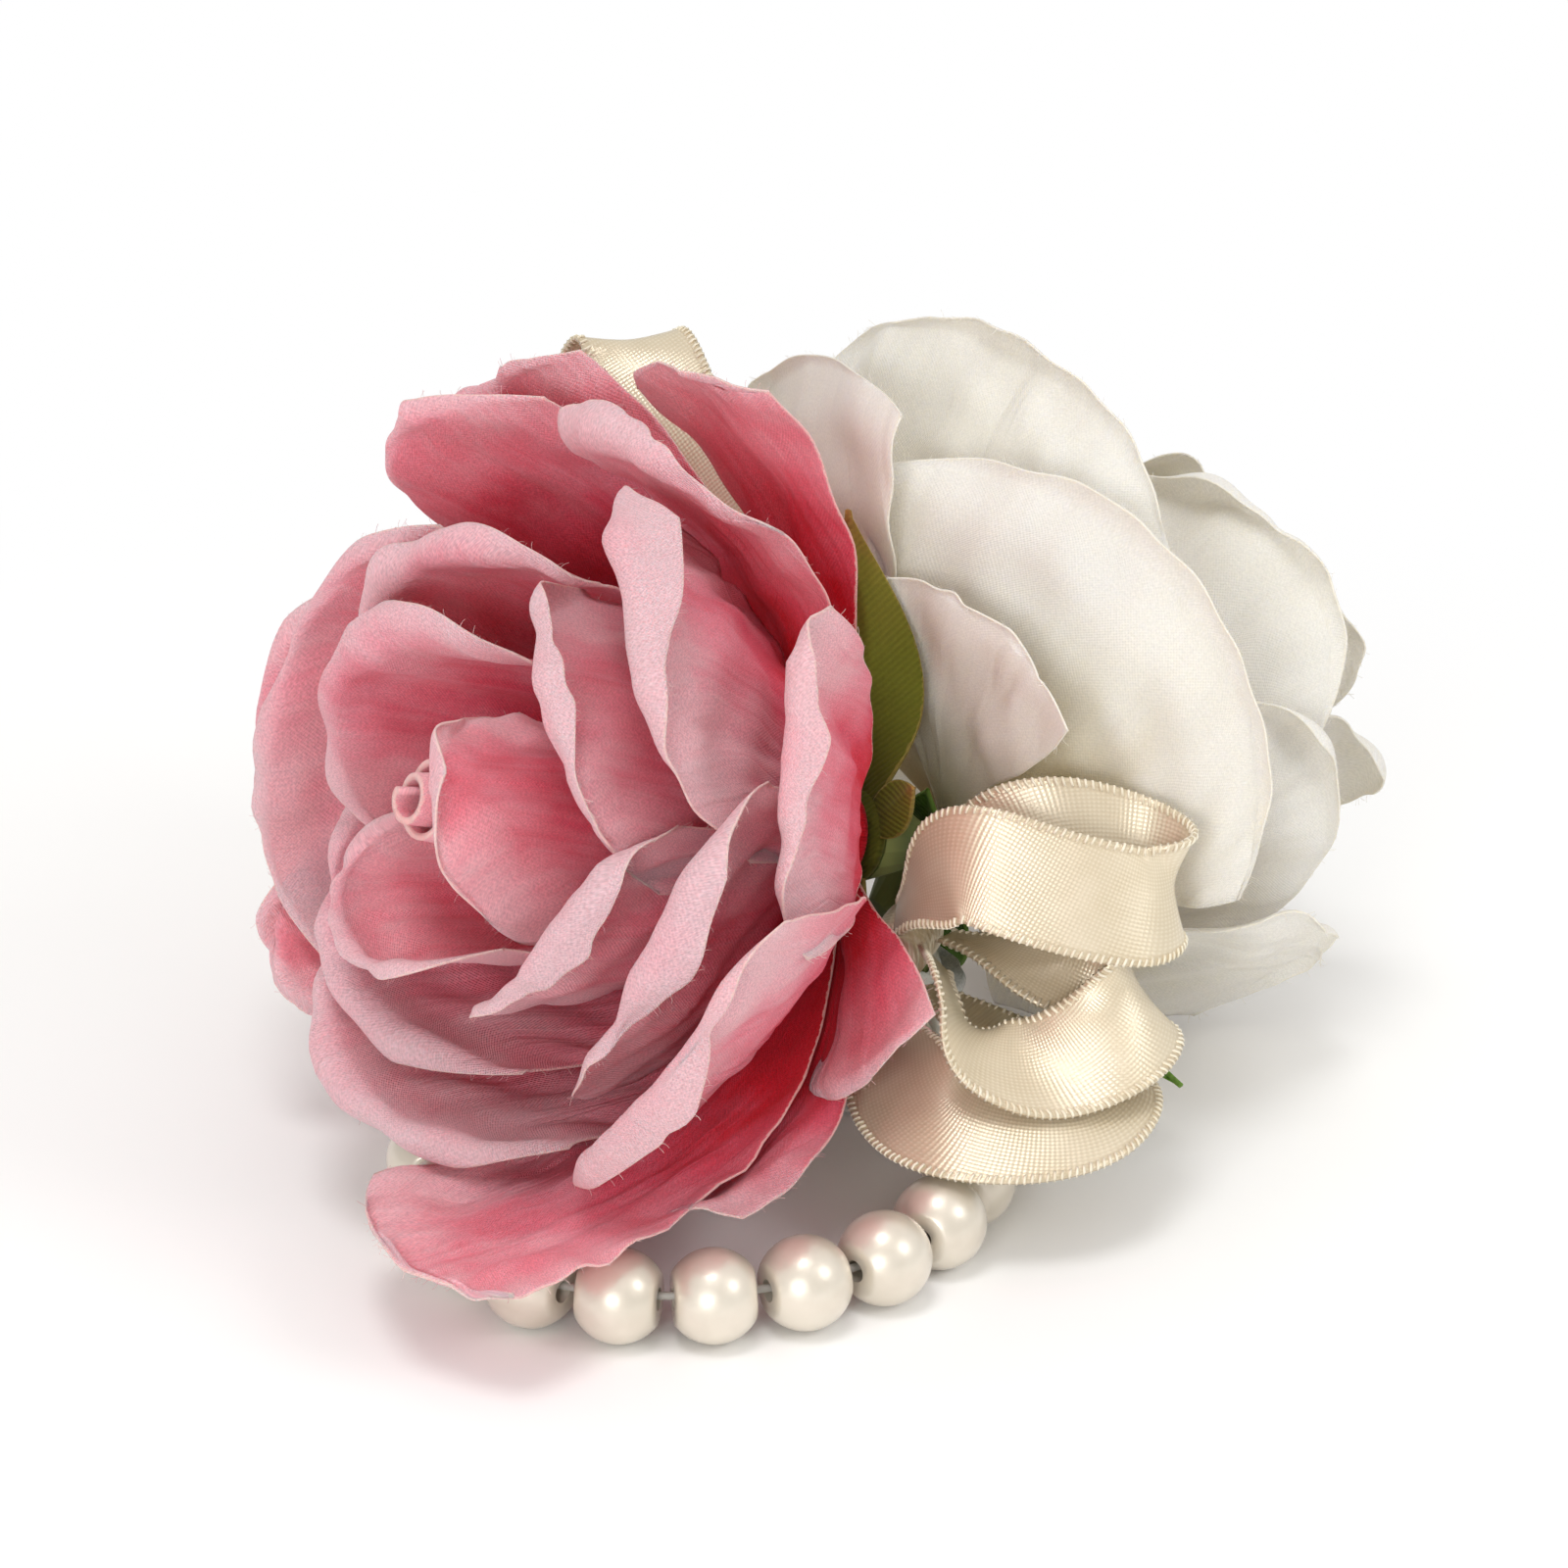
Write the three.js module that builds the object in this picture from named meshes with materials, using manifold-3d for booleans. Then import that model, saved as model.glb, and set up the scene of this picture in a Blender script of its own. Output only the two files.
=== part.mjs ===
// Flower bracelet: a strand of imitation pearls on elastic cord, with two fabric roses, green sepals and
// a bow of satin ribbon fixed to it on a sandwich of two felt discs.
// Millimetres, +Z up. The strand lies flat on the plane z = 0 round the Z axis, and the viewer looks
// along +Y with +X to the right. The roses and the bow are placed from the middle of the upper felt.
import * as THREE from 'three';
import { mergeVertices } from 'three/addons/utils/BufferGeometryUtils.js';
import Module from 'manifold-3d';

const wasm = await Module();
wasm.setup();

// Driving dimensions of the strand
const PEARL_COUNT = 20;
const PEARL_D = 10;
const PEARL_FLAT_D = 5.5; // flat round the mouth of the bore
const PEARL_BORE_D = 2.4;
const PEARL_GAP = 0.3; // between the flats of two neighbours where the strand bends most, at their inner edge
const STRAND_BEND = 28; // degrees from one pearl to the next, where the strand bends most
const CORD_D = 0.9;
const KNOT_D = 1.6; // elastic knot, pulled into the bore of a fixed pearl
const KNOT_L = 2.2;
const PEARL_SIDES = 12;

// Driving dimensions of the felt sandwich and the glue
const FELT_T = 1.5;
const LOWER_FELT_D = 18;
const UPPER_FELT_D = 20;
const FELT_OFFSET = 2.6; // centre of the felt, outside the line of the strand
const GLUE_BED_D = 15;
const GLUE_MOUND_D = 15;
const GLUE_MOUND_H = 4;

// Clearances
const SEAT = 0.3; // between two pieces that are seated on each other
const FIT = 0.3; // round a pin, a stem or a strand that passes through a piece

// Driving dimensions of the roses
const PETAL_T = 0.6;
const LAYER_PITCH = 2.3; // from one petal layer's hub to the next, along the flower's axis
const HUB_D = 10;
const HUB_T = 0.9;
const PIN_D = 2.4; // pin of the receptacle, on which the layers are threaded
const RECEPTACLE_D = 10;
const RECEPTACLE_L = 8;
const STEM_D = 3.4;
const SEPAL_T = 0.6;

// Driving dimensions of the bow
const RIBBON_W = 12.7;
const RIBBON_T = 0.5;
const BINDING_D = 7;

const DEG = Math.PI / 180;
const vec = (x, y, z) => new THREE.Vector3(x, y, z);

// Materials
const material = (color, roughness, metalness = 0) =>
  new THREE.MeshStandardMaterial({ color, roughness, metalness });
const PEARL = material(0xe9dcc9, 0.22);
const ELASTIC = material(0xf2f0ea, 0.4);
const FELT = material(0x8d8478, 0.95);
const GLUE = material(0xe8e2d0, 0.35);
const PINK = material(0xc9808c, 0.85);
const WHITE = material(0xe9e2d2, 0.85);
const GREEN = material(0x5f7330, 0.85);
const STEM = material(0x3f5a2a, 0.6);
const SATIN = material(0xeee2c4, 0.35);

const root = new THREE.Group();

function addMesh(parent, name, geometry, mat) {
  const mesh = new THREE.Mesh(geometry, mat);
  mesh.name = name;
  parent.add(mesh);
  return mesh;
}

// Solids
function weld(geometry) {
  geometry.deleteAttribute('normal');
  geometry.deleteAttribute('uv');
  return mergeVertices(geometry, 1e-4);
}

function toManifold(geometry) {
  const welded = weld(geometry.clone());
  const mesh = new wasm.Mesh({
    numProp: 3,
    vertProperties: new Float32Array(welded.attributes.position.array),
    triVerts: new Uint32Array(welded.index.array),
  });
  return new wasm.Manifold(mesh);
}

function toGeometry(manifold) {
  const mesh = manifold.getMesh();
  const geometry = new THREE.BufferGeometry();
  geometry.setAttribute('position', new THREE.BufferAttribute(new Float32Array(mesh.vertProperties), 3));
  geometry.setIndex(new THREE.BufferAttribute(new Uint32Array(mesh.triVerts), 1));
  return geometry;
}

// A revolve about Z of [radius, z] pairs. A profile that doesn't reach the axis closes on itself.
function revolve(profile, sides) {
  const points = profile.map(([r, z]) => new THREE.Vector2(r, z));
  const lathe = new THREE.LatheGeometry(points, sides);
  lathe.rotateX(Math.PI / 2);
  return toGeometry(orient(toManifold(lathe), lathe));
}

// A closed mesh whose faces point inwards has a negative volume, and is turned inside out.
function orient(solid, geometry) {
  if (solid.volume() > 0) return solid;
  const index = weld(geometry.clone());
  const flipped = Array.from(index.index.array);
  for (let i = 0; i < flipped.length; i += 3) [flipped[i], flipped[i + 1]] = [flipped[i + 1], flipped[i]];
  index.setIndex(flipped);
  return toManifold(index);
}

// A sheet of the given thickness on both sides of surface(u, v), with u from -1 to 1 and v from 0 to 1.
function sheet(surface, columns, rows, thickness) {
  const step = 1e-3;
  const top = [];
  const bottom = [];
  for (let j = 0; j <= rows; j++) {
    for (let i = 0; i <= columns; i++) {
      const u = -1 + (2 * i) / columns;
      const v = j / rows;
      const alongU = surface(Math.min(u + step, 1), v).sub(surface(Math.max(u - step, -1), v));
      const alongV = surface(u, Math.min(v + step, 1)).sub(surface(u, Math.max(v - step, 0)));
      const normal = alongU.cross(alongV).normalize().multiplyScalar(thickness / 2);
      const p = surface(u, v);
      top.push(p.clone().add(normal));
      bottom.push(p.clone().sub(normal));
    }
  }
  const all = [...top, ...bottom];
  const across = columns + 1;
  const under = top.length;
  const index = [];
  const quad = (a, b, c, d) => index.push(a, b, c, a, c, d);
  for (let j = 0; j < rows; j++) {
    for (let i = 0; i < columns; i++) {
      const a = j * across + i;
      quad(a, a + 1, a + across + 1, a + across);
      quad(under + a, under + a + across, under + a + across + 1, under + a + 1);
    }
  }
  const edge = [];
  for (let i = 0; i < columns; i++) edge.push(i);
  for (let j = 0; j < rows; j++) edge.push(j * across + columns);
  for (let i = columns; i > 0; i--) edge.push(rows * across + i);
  for (let j = rows; j > 0; j--) edge.push(j * across);
  edge.forEach((a, k) => {
    const b = edge[(k + 1) % edge.length];
    quad(a, under + a, under + b, b);
  });
  const geometry = new THREE.BufferGeometry().setFromPoints(all);
  geometry.setIndex(index);
  return geometry;
}

// A round tube along a curve, closed at both ends
function tube(curve, diameter, sides, steps) {
  const section = new THREE.Shape();
  for (let i = 0; i < sides; i++) {
    const a = (2 * Math.PI * i) / sides;
    const p = [Math.cos(a) * diameter / 2, Math.sin(a) * diameter / 2];
    if (i === 0) section.moveTo(...p);
    else section.lineTo(...p);
  }
  return weld(new THREE.ExtrudeGeometry(section, { steps, bevelEnabled: false, extrudePath: curve }));
}

// The strand. Each pearl is a ball with a flat at both mouths of its bore. The strand lies in an oval that is
// flattened on the left, and its length follows from the pearls: the flats of two neighbours stay PEARL_GAP
// apart at their inner edge, even where the strand bends most.
const PEARL_HALF_L = Math.sqrt((PEARL_D ** 2 - PEARL_FLAT_D ** 2) / 4);
const HALF_BEND = (STRAND_BEND * DEG) / 2;
const PEARL_PITCH =
  2 * (PEARL_HALF_L * Math.cos(HALF_BEND) + (PEARL_FLAT_D / 2) * Math.sin(HALF_BEND)) + PEARL_GAP;
const STRAND_SHAPE = [ // only its form counts; it is scaled to the length of the strand
  [4.8, -32.3], [23.2, -24.3], [32.6, -7.5], [30.2, 12.2], [17.8, 27.1],
  [-0.5, 33.6], [-18, 26.5], [-25.2, 8.7], [-23.1, -12.1], [-13.9, -28.7],
];

function strandCurve() {
  const closed = (scale) => new THREE.CatmullRomCurve3(
    STRAND_SHAPE.map(([x, y]) => vec(x * scale, y * scale, 0)), true, 'centripetal');
  const shape = closed((PEARL_COUNT * PEARL_PITCH) / closed(1).getLength());
  shape.arcLengthDivisions = 100 * PEARL_COUNT;
  shape.updateArcLengths();
  return shape;
}
const STRAND = strandCurve();
const FIXED = [7, 8]; // the two pearls that the felt holds
const FIXED_AT = (FIXED[0] + FIXED[1]) / 2 / PEARL_COUNT; // the middle of the pair, as a share of the strand
const FIXED_Z = FELT_T + SEAT + PEARL_D / 2;
const ALONG = STRAND.getTangentAt(FIXED_AT);
const OUTWARD = vec(ALONG.y, -ALONG.x, 0);
const STRAND_LINE = STRAND.getPointAt(FIXED_AT).setZ(FIXED_Z);
const LIFT = FIXED_Z - PEARL_D / 2; // of the fixed pair above the pearls that lie on the plane
const LIFT_OVER = 3; // pearls over which the strand comes down to the plane
const FIXED_SPREAD = PEARL_HALF_L + PEARL_GAP / 2; // from the middle of the pair to a fixed pearl's centre

function pearlCentre(k) {
  if (FIXED.includes(k)) {
    const side = k === FIXED[0] ? -1 : 1;
    return STRAND_LINE.clone().addScaledVector(ALONG, side * FIXED_SPREAD);
  }
  const away = Math.abs(k - (FIXED[0] + FIXED[1]) / 2);
  const steps = Math.min(away, PEARL_COUNT - away) - 0.5;
  const z = PEARL_D / 2 + LIFT * Math.max(0, 1 - steps / LIFT_OVER) ** 2;
  return STRAND.getPointAt(k / PEARL_COUNT).setZ(z);
}

function pearlAxis(k) {
  if (FIXED.includes(k)) return ALONG.clone();
  const next = pearlCentre((k + 1) % PEARL_COUNT);
  const last = pearlCentre((k + PEARL_COUNT - 1) % PEARL_COUNT);
  return next.sub(last).normalize();
}

function pearlGeometry() {
  const first = Math.asin(PEARL_FLAT_D / PEARL_D);
  const rings = 5;
  const profile = [[PEARL_BORE_D / 2, PEARL_HALF_L]];
  for (let i = 0; i <= rings; i++) {
    const a = first + ((Math.PI - 2 * first) * i) / rings;
    profile.push([Math.sin(a) * PEARL_D / 2, Math.cos(a) * PEARL_D / 2]);
  }
  profile.push([PEARL_BORE_D / 2, -PEARL_HALF_L], profile[0]);
  return revolve(profile, PEARL_SIDES);
}

const pearl = pearlGeometry();
for (let k = 0; k < PEARL_COUNT; k++) {
  const mesh = addMesh(root, `pearl_${String(k + 1).padStart(2, '0')}`, pearl, PEARL);
  mesh.position.copy(pearlCentre(k));
  mesh.quaternion.setFromUnitVectors(vec(0, 0, 1), pearlAxis(k));
}

// The elastic cord runs straight through the fixed pair. Its ends meet at the knot in the second's bore.
function cordPath() {
  const knotAt = FIXED_SPREAD;
  const ends = KNOT_L / 2 + SEAT;
  const straight = FIXED_SPREAD + PEARL_HALF_L;
  const at = (s) => STRAND_LINE.clone().addScaledVector(ALONG, s);
  const points = [at(knotAt + ends), at(straight)];
  for (let i = 1; i <= PEARL_COUNT - 2; i++) points.push(pearlCentre((FIXED[1] + i) % PEARL_COUNT));
  points.push(at(-straight), at(0), at(knotAt - ends));
  return new THREE.CatmullRomCurve3(points, false, 'centripetal');
}
const CORD_SIDES = 5;
const CORD_STEPS = 72;
addMesh(root, 'elastic_cord', tube(cordPath(), CORD_D, CORD_SIDES, CORD_STEPS), ELASTIC);

function knotGeometry() {
  const end = CORD_D / 2;
  const half = KNOT_L / 2;
  const waist = half / 3;
  const r = KNOT_D / 2;
  const sides = 10;
  return revolve([[0, half], [end, half], [r, waist], [r, -waist], [end, -half], [0, -half]], sides);
}
const knot = addMesh(root, 'elastic_knot', knotGeometry(), ELASTIC);
knot.position.copy(pearlCentre(FIXED[1]));
knot.quaternion.setFromUnitVectors(vec(0, 0, 1), ALONG);

// The felt sandwich, with the fixed pair and a bed of glue in it
const FELT_CENTRE = STRAND_LINE.clone().addScaledVector(OUTWARD, FELT_OFFSET);
const UPPER_FELT_Z = FIXED_Z + PEARL_D / 2 + SEAT;
const FELT_SIDES = 24;

function disc(diameter, z0, z1, sides) {
  return revolve([[0, z0], [diameter / 2, z0], [diameter / 2, z1], [0, z1]], sides);
}

function atFelt(name, geometry, mat) {
  return addMesh(root, name, geometry, mat).position.set(FELT_CENTRE.x, FELT_CENTRE.y, 0);
}
atFelt('lower_felt', disc(LOWER_FELT_D, 0, FELT_T, FELT_SIDES), FELT);
atFelt('upper_felt', disc(UPPER_FELT_D, UPPER_FELT_Z, UPPER_FELT_Z + FELT_T, FELT_SIDES), FELT);

// Everything above the felt is placed from the middle of its upper face.
const FELT_TOP = UPPER_FELT_Z + FELT_T;
const MOUNT = FELT_CENTRE.clone().setZ(FELT_TOP);
const fromMount = (x, y, z) => vec(x, y, z).add(MOUNT);

// The bed fills the sandwich outside the strand, and the channel of the fixed pair is cut out of it.
function glueBed() {
  const bedSides = 20;
  const channelSides = 16;
  const bed = toManifold(disc(GLUE_BED_D, FELT_T + SEAT, UPPER_FELT_Z - SEAT, bedSides));
  const reach = GLUE_BED_D + PEARL_D;
  const channel = new THREE.CylinderGeometry(PEARL_D / 2 + FIT, PEARL_D / 2 + FIT, reach, channelSides);
  const turned = new THREE.Matrix4().makeRotationFromQuaternion(
    new THREE.Quaternion().setFromUnitVectors(vec(0, 1, 0), ALONG));
  channel.applyMatrix4(turned);
  const offset = STRAND_LINE.clone().sub(vec(FELT_CENTRE.x, FELT_CENTRE.y, 0));
  channel.translate(offset.x, offset.y, offset.z);
  const inner = new THREE.BoxGeometry(reach, reach, reach);
  inner.translate(-reach / 2, 0, 0);
  inner.rotateZ(Math.atan2(OUTWARD.y, OUTWARD.x));
  inner.translate(offset.x, offset.y, offset.z);
  return toGeometry(bed.subtract(toManifold(channel)).subtract(toManifold(inner)));
}
atFelt('glue_bed', glueBed(), GLUE);

// The roses. Each has its own group, with the flower's axis as its Z and its top side as its X.
function flowerGroup(base, axis) {
  const z = axis.clone().normalize();
  const x = vec(0, 0, 1).addScaledVector(z, -z.z).normalize();
  const y = z.clone().cross(x);
  const group = new THREE.Group();
  group.position.copy(base);
  group.quaternion.setFromRotationMatrix(new THREE.Matrix4().makeBasis(x, y, z));
  root.add(group);
  return group;
}

const smooth = (t) => t * t * (3 - 2 * t);
const ROOT_SHARE = 0.3; // where petals and sepals spring from the hub, as a share of its diameter

// One petal. turn and half place it about the axis, in degrees. reach and height are the radius and the
// height of its rim above the hub, lean makes one side stand further out than the other, drop rounds its
// corners, belly and rise shape the cup, and roll is the length of the rim that turns outwards, on curl
// as its radius.
function petalSurface(hubZ, p) {
  const start = HUB_D * ROOT_SHARE;
  const narrow = 0.5; // width of the foot, as a share of the widest part
  const widestAt = 0.6;
  const rimShare = 2 / 3; // share of v below the rolled rim
  const cornerPower = 2.6;
  const cornerRoll = 0.25; // what is left of the roll at a corner
  return (u, v) => {
    const t = Math.min(v / rimShare, 1);
    const spread = narrow + (1 - narrow) * smooth(Math.min(t / widestAt, 1));
    const angle = (p.turn + u * p.half * spread) * DEG;
    const corner = Math.abs(u) ** cornerPower;
    const reach = p.reach + p.lean * u;
    const height = p.height - p.drop * corner;
    const midR = start + p.belly * (reach - start);
    const midZ = hubZ + p.rise * (height - hubZ);
    const s = 1 - t;
    let r = s * s * start + 2 * s * t * midR + t * t * reach;
    let z = s * s * hubZ + 2 * s * t * midZ + t * t * height;
    if (v > rimShare) {
      const length = p.roll * (1 - (1 - cornerRoll) * corner) * (v - rimShare) / (1 - rimShare);
      const first = Math.atan2(reach - midR, height - midZ);
      const turned = length / p.curl;
      r += p.curl * (Math.cos(first) - Math.cos(first + turned));
      z += p.curl * (Math.sin(first + turned) - Math.sin(first));
    }
    return vec(r * Math.cos(angle), r * Math.sin(angle), z);
  };
}

const PETAL_COLUMNS = 6;
const PETAL_ROWS = 6;
const SEPAL_COLUMNS = 2;
const SEPAL_ROWS = 5;
const HUB_SIDES = 12;

// The ring in the middle of a layer or a star, threaded on the pin
function hubRing(hubZ) {
  const hole = PIN_D / 2 + FIT;
  const rim = HUB_D / 2;
  const low = hubZ - HUB_T / 2;
  const high = hubZ + HUB_T / 2;
  return toManifold(revolve([[hole, low], [rim, low], [rim, high], [hole, high], [hole, low]], HUB_SIDES));
}

// A layer is one cut piece of cloth: a hub ring with its petals.
function petalLayer(hubZ, petals) {
  let layer = hubRing(hubZ);
  for (const p of petals) {
    layer = layer.add(toManifold(sheet(petalSurface(hubZ, p), PETAL_COLUMNS, PETAL_ROWS, PETAL_T)));
  }
  return toGeometry(layer);
}

// The bud is a strip of cloth rolled up round the axis, higher towards its middle.
function budGeometry(foot, top, diameter) {
  const turns = 2.3;
  const steps = 22;
  const inner = PIN_D;
  const profile = [[0, 0.5], [0.4, 1], [0.75, 0.92], [1, 0.62]];
  const strip = 0.9;
  const slope = 0.1; // fall of the crown from the first turn to the last, as a share of the height
  const rings = [];
  for (let i = 0; i <= steps; i++) {
    const a = (turns * 2 * Math.PI * i) / steps;
    const radius = inner / 2 + strip + ((diameter / 2 - inner / 2 - strip) * i) / steps;
    const crown = top - (top - foot) * slope * (i / steps);
    const ring = [];
    for (const [side, list] of [[0, profile], [strip, [...profile].reverse()]]) {
      for (const [share, swell] of list) {
        const r = radius * swell - side * swell;
        ring.push(vec(r * Math.cos(a), r * Math.sin(a), foot + share * (crown - foot)));
      }
    }
    rings.push(ring);
  }
  return loft(rings);
}

// Skins a row of closed rings of points and caps both ends.
function loft(rings) {
  const n = rings[0].length;
  const index = [];
  for (let i = 0; i + 1 < rings.length; i++) {
    for (let k = 0; k < n; k++) {
      const a = i * n + k;
      const b = i * n + ((k + 1) % n);
      index.push(a, b, b + n, a, b + n, a + n);
    }
  }
  const last = (rings.length - 1) * n;
  for (let k = 1; k + 1 < n - k; k++) {
    const [a, b, c, d] = [k - 1, k, n - 1 - k, n - k];
    index.push(a, c, b, a, d, c, last + a, last + b, last + c, last + a, last + c, last + d);
  }
  const geometry = new THREE.BufferGeometry().setFromPoints(rings.flat());
  geometry.setIndex(index);
  return toGeometry(orient(toManifold(geometry), geometry));
}

// The receptacle: a tapered cup under the sepals, with the pin on which the layers are threaded
function receptacle(pinTop, shoulder) {
  const tail = shoulder - RECEPTACLE_L;
  const r = RECEPTACLE_D / 2;
  const bellyR = r * 0.75;
  const bellyZ = tail + RECEPTACLE_L * 0.45;
  const sides = 16;
  return revolve([
    [0, tail], [STEM_D / 2, tail], [bellyR, bellyZ], [r, shoulder],
    [PIN_D / 2, shoulder], [PIN_D / 2, pinTop], [0, pinTop],
  ], sides);
}

// One sepal of a star: a leaf with a keel, which leaves the hub square to the axis and then follows lift.
function sepalSurface(hubZ, p) {
  const start = HUB_D * ROOT_SHARE;
  const foot = 0.14; // share of the leaf's outline that the hub hides
  const tip = 0.985;
  const tipWidth = 0.05;
  const fold = 0.35; // slope of both halves away from the keel
  return (u, v) => {
    const s = v * (p.length - start);
    const angle = p.turn * DEG;
    const arc = p.lift * DEG * smooth(v);
    const r = start + s * Math.cos(arc);
    const z = hubZ + s * Math.sin(arc);
    const outline = Math.sin(Math.PI * Math.min(v * (1 - foot) + foot, tip));
    const half = (p.width / 2) * Math.max(outline, tipWidth);
    const side = u * half;
    const keel = Math.abs(u) * half * fold * smooth(v);
    return vec(
      r * Math.cos(angle) - side * Math.sin(angle),
      r * Math.sin(angle) + side * Math.cos(angle),
      z - keel,
    );
  };
}

function sepalStar(hubZ, sepals) {
  let star = hubRing(hubZ);
  for (const p of sepals) {
    star = star.add(toManifold(sheet(sepalSurface(hubZ, p), SEPAL_COLUMNS, SEPAL_ROWS, SEPAL_T)));
  }
  return toGeometry(star);
}

function makeRose(name, spec, mat) {
  const group = flowerGroup(spec.base, spec.axis);
  const count = spec.layers.length;
  const hubZ = (i) => LAYER_PITCH * (count - i); // layer 1 is the innermost
  const pinTop = hubZ(0) + HUB_T / 2;
  const shoulder = -HUB_T / 2 - SEAT;
  addMesh(group, `${name}_receptacle`, receptacle(pinTop, shoulder), STEM);
  addMesh(group, `${name}_sepals`, sepalStar(0, spec.sepals), GREEN);
  spec.layers.forEach((petals, i) => {
    addMesh(group, `${name}_petals_${i + 1}`, petalLayer(hubZ(i + 1) + LAYER_PITCH, petals), mat);
  });
  addMesh(group, `${name}_bud`, budGeometry(hubZ(0) + LAYER_PITCH, spec.budTop, spec.budD), mat);
  return group;
}

const petal = (turn, half, reach, height, options = {}) =>
  ({ turn, half, reach, height, lean: 2, drop: 5, belly: 0.85, rise: 0.15, roll: 6, curl: 3, ...options });
const sepal = (turn, length, lift, width = 8.5) => ({ turn, length, lift, width });

// Turns of the pink rose run from its top side, away from the viewer.
const PINK_ROSE = {
  base: fromMount(-2.8, -9.7, 21.1),
  axis: vec(-0.838, -0.461, 0.29),
  budTop: 57,
  budD: 15,
  sepals: [
    sepal(8, 36, 15, 11), sepal(-162, 36, 12), sepal(36, 22, 4), sepal(78, 16, 0), sepal(-46, 13, 6, 6),
  ],
  layers: [
    [
      petal(-66, 64, 13, 58, { drop: 12, roll: 3, lean: -3 }),
      petal(60, 60, 18, 55, { drop: 10, roll: 9, curl: 4 }),
      petal(172, 58, 15, 57, { drop: 10, roll: 6 }),
    ],
    [
      petal(-44, 48, 22, 52, { drop: 14, belly: 0.8, rise: 0.16 }),
      petal(52, 50, 26, 50, { drop: 12, roll: 5 }),
      petal(146, 50, 25, 50, { drop: 12 }),
      petal(-122, 50, 22, 51, { drop: 14, belly: 0.8, rise: 0.16 }),
    ],
    [
      petal(-34, 44, 31, 46, { drop: 14, belly: 0.7, rise: 0.2, roll: 9 }),
      petal(10, 26, 38, 38, { drop: 12, belly: 0.76, rise: 0.18, roll: 4 }),
      petal(49, 16, 44, 46, { drop: 10, belly: 0.76, rise: 0.18, roll: 4, lean: -1 }),
      petal(94, 44, 36, 52, { drop: 9 }),
      petal(166, 42, 32, 50, { drop: 14 }),
      petal(-110, 46, 31, 44, { drop: 12, belly: 0.7, rise: 0.2, roll: 7 }),
    ],
    [
      petal(-64, 29, 36, 34, { drop: 8, belly: 0.66, rise: 0.24 }),
      petal(47, 13, 49, 36, { drop: 5, belly: 0.74, rise: 0.16, roll: 4, lean: -2 }),
      petal(99, 31, 45, 46, { drop: 14, belly: 0.78, rise: 0.18 }),
      petal(130, 20, 40, 48, { drop: 14, belly: 0.8, rise: 0.1, roll: 3 }),
      petal(-118, 34, 38, 42, { drop: 8, belly: 0.74, rise: 0.22, lean: 1 }),
    ],
    [
      petal(13, 16, 47, 31, { drop: 4, belly: 0.7, rise: 0.14, roll: 1, lean: -1 }),
      petal(88, 34, 48, 28, { drop: 12, belly: 0.74, rise: 0.08, roll: 4 }),
      petal(-154, 17, 46, 56, { drop: 4, belly: 0.72, rise: 0.06, roll: 1, lean: 7 }),
      petal(-128, 22, 29, 10, { drop: 4, belly: 0.6, roll: 2 }),
      petal(-146, 12, 41, 30, { drop: 6, belly: 0.78, rise: 0.02, roll: 2, lean: 4 }),
    ],
  ],
};

// Turns of the white rose run from its top side, towards the viewer.
const WHITE_ROSE = {
  base: fromMount(6.6, 5.3, 10.7),
  axis: vec(0.735, 0.551, 0.399),
  budTop: 48,
  budD: 15,
  sepals: [
    sepal(118, 38, 0), sepal(20, 14, 0, 6), sepal(86, 12, 0, 5), sepal(196, 20, 0), sepal(-92, 30, 0),
  ],
  layers: [
    [
      petal(90, 62, 14, 50, { drop: 12, roll: 3 }),
      petal(-30, 60, 16, 50, { drop: 12, roll: 4 }),
      petal(210, 60, 15, 49, { drop: 12, roll: 3 }),
    ],
    [
      petal(40, 50, 24, 45, { drop: 12, roll: 4 }),
      petal(130, 48, 21, 43, { drop: 12, roll: 4 }),
      petal(-50, 50, 28, 45, { drop: 12, roll: 3 }),
      petal(220, 50, 22, 43, { drop: 12, roll: 3 }),
    ],
    [
      petal(-7, 44, 45, 35, { drop: 8, roll: 4, lean: -6 }),
      petal(98, 42, 28, 33, { drop: 12, roll: 4 }),
      petal(195, 44, 26, 34, { drop: 12, roll: 3 }),
      petal(-90, 32, 33, 35, { drop: 12, roll: 4 }),
    ],
    [
      petal(42, 47, 41, 24, { drop: 11, belly: 0.9, roll: 3, lean: -5 }),
      petal(130, 28, 34, 26, { drop: 10, belly: 0.8, roll: 3, lean: 0 }),
      petal(-34, 38, 52, 20, { drop: 5, belly: 0.85, roll: 3 }),
      petal(214, 34, 33, 26, { drop: 8, belly: 0.8, roll: 2, lean: 3 }),
      petal(-98, 28, 44, 26, { drop: 11, belly: 0.8, roll: 3 }),
    ],
    [
      petal(22, 24, 40, 8, { drop: 4, belly: 0.7, roll: 2 }),
      petal(162, 30, 26, 6, { drop: 3, belly: 0.7, roll: 1 }),
      petal(-84, 32, 36, 7, { drop: 4, belly: 0.7, roll: 2 }),
    ],
  ],
};

const pinkRose = makeRose('pink_rose', PINK_ROSE, PINK);
const whiteRose = makeRose('white_rose', WHITE_ROSE, WHITE);

// Short stems lead from the receptacles down into a mound of glue on the upper felt.
const STEM_FOOT = SEAT / 2; // above the felt, a little below the underside of the mound
const STEM_TOP = HUB_T / 2 + SEAT + RECEPTACLE_L + 4 * SEAT; // below the sepals, along the flower's axis
const PINK_FOOT = fromMount(4, -2.5, STEM_FOOT);
const WHITE_FOOT = fromMount(-4.1, -2.2, STEM_FOOT);

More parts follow.
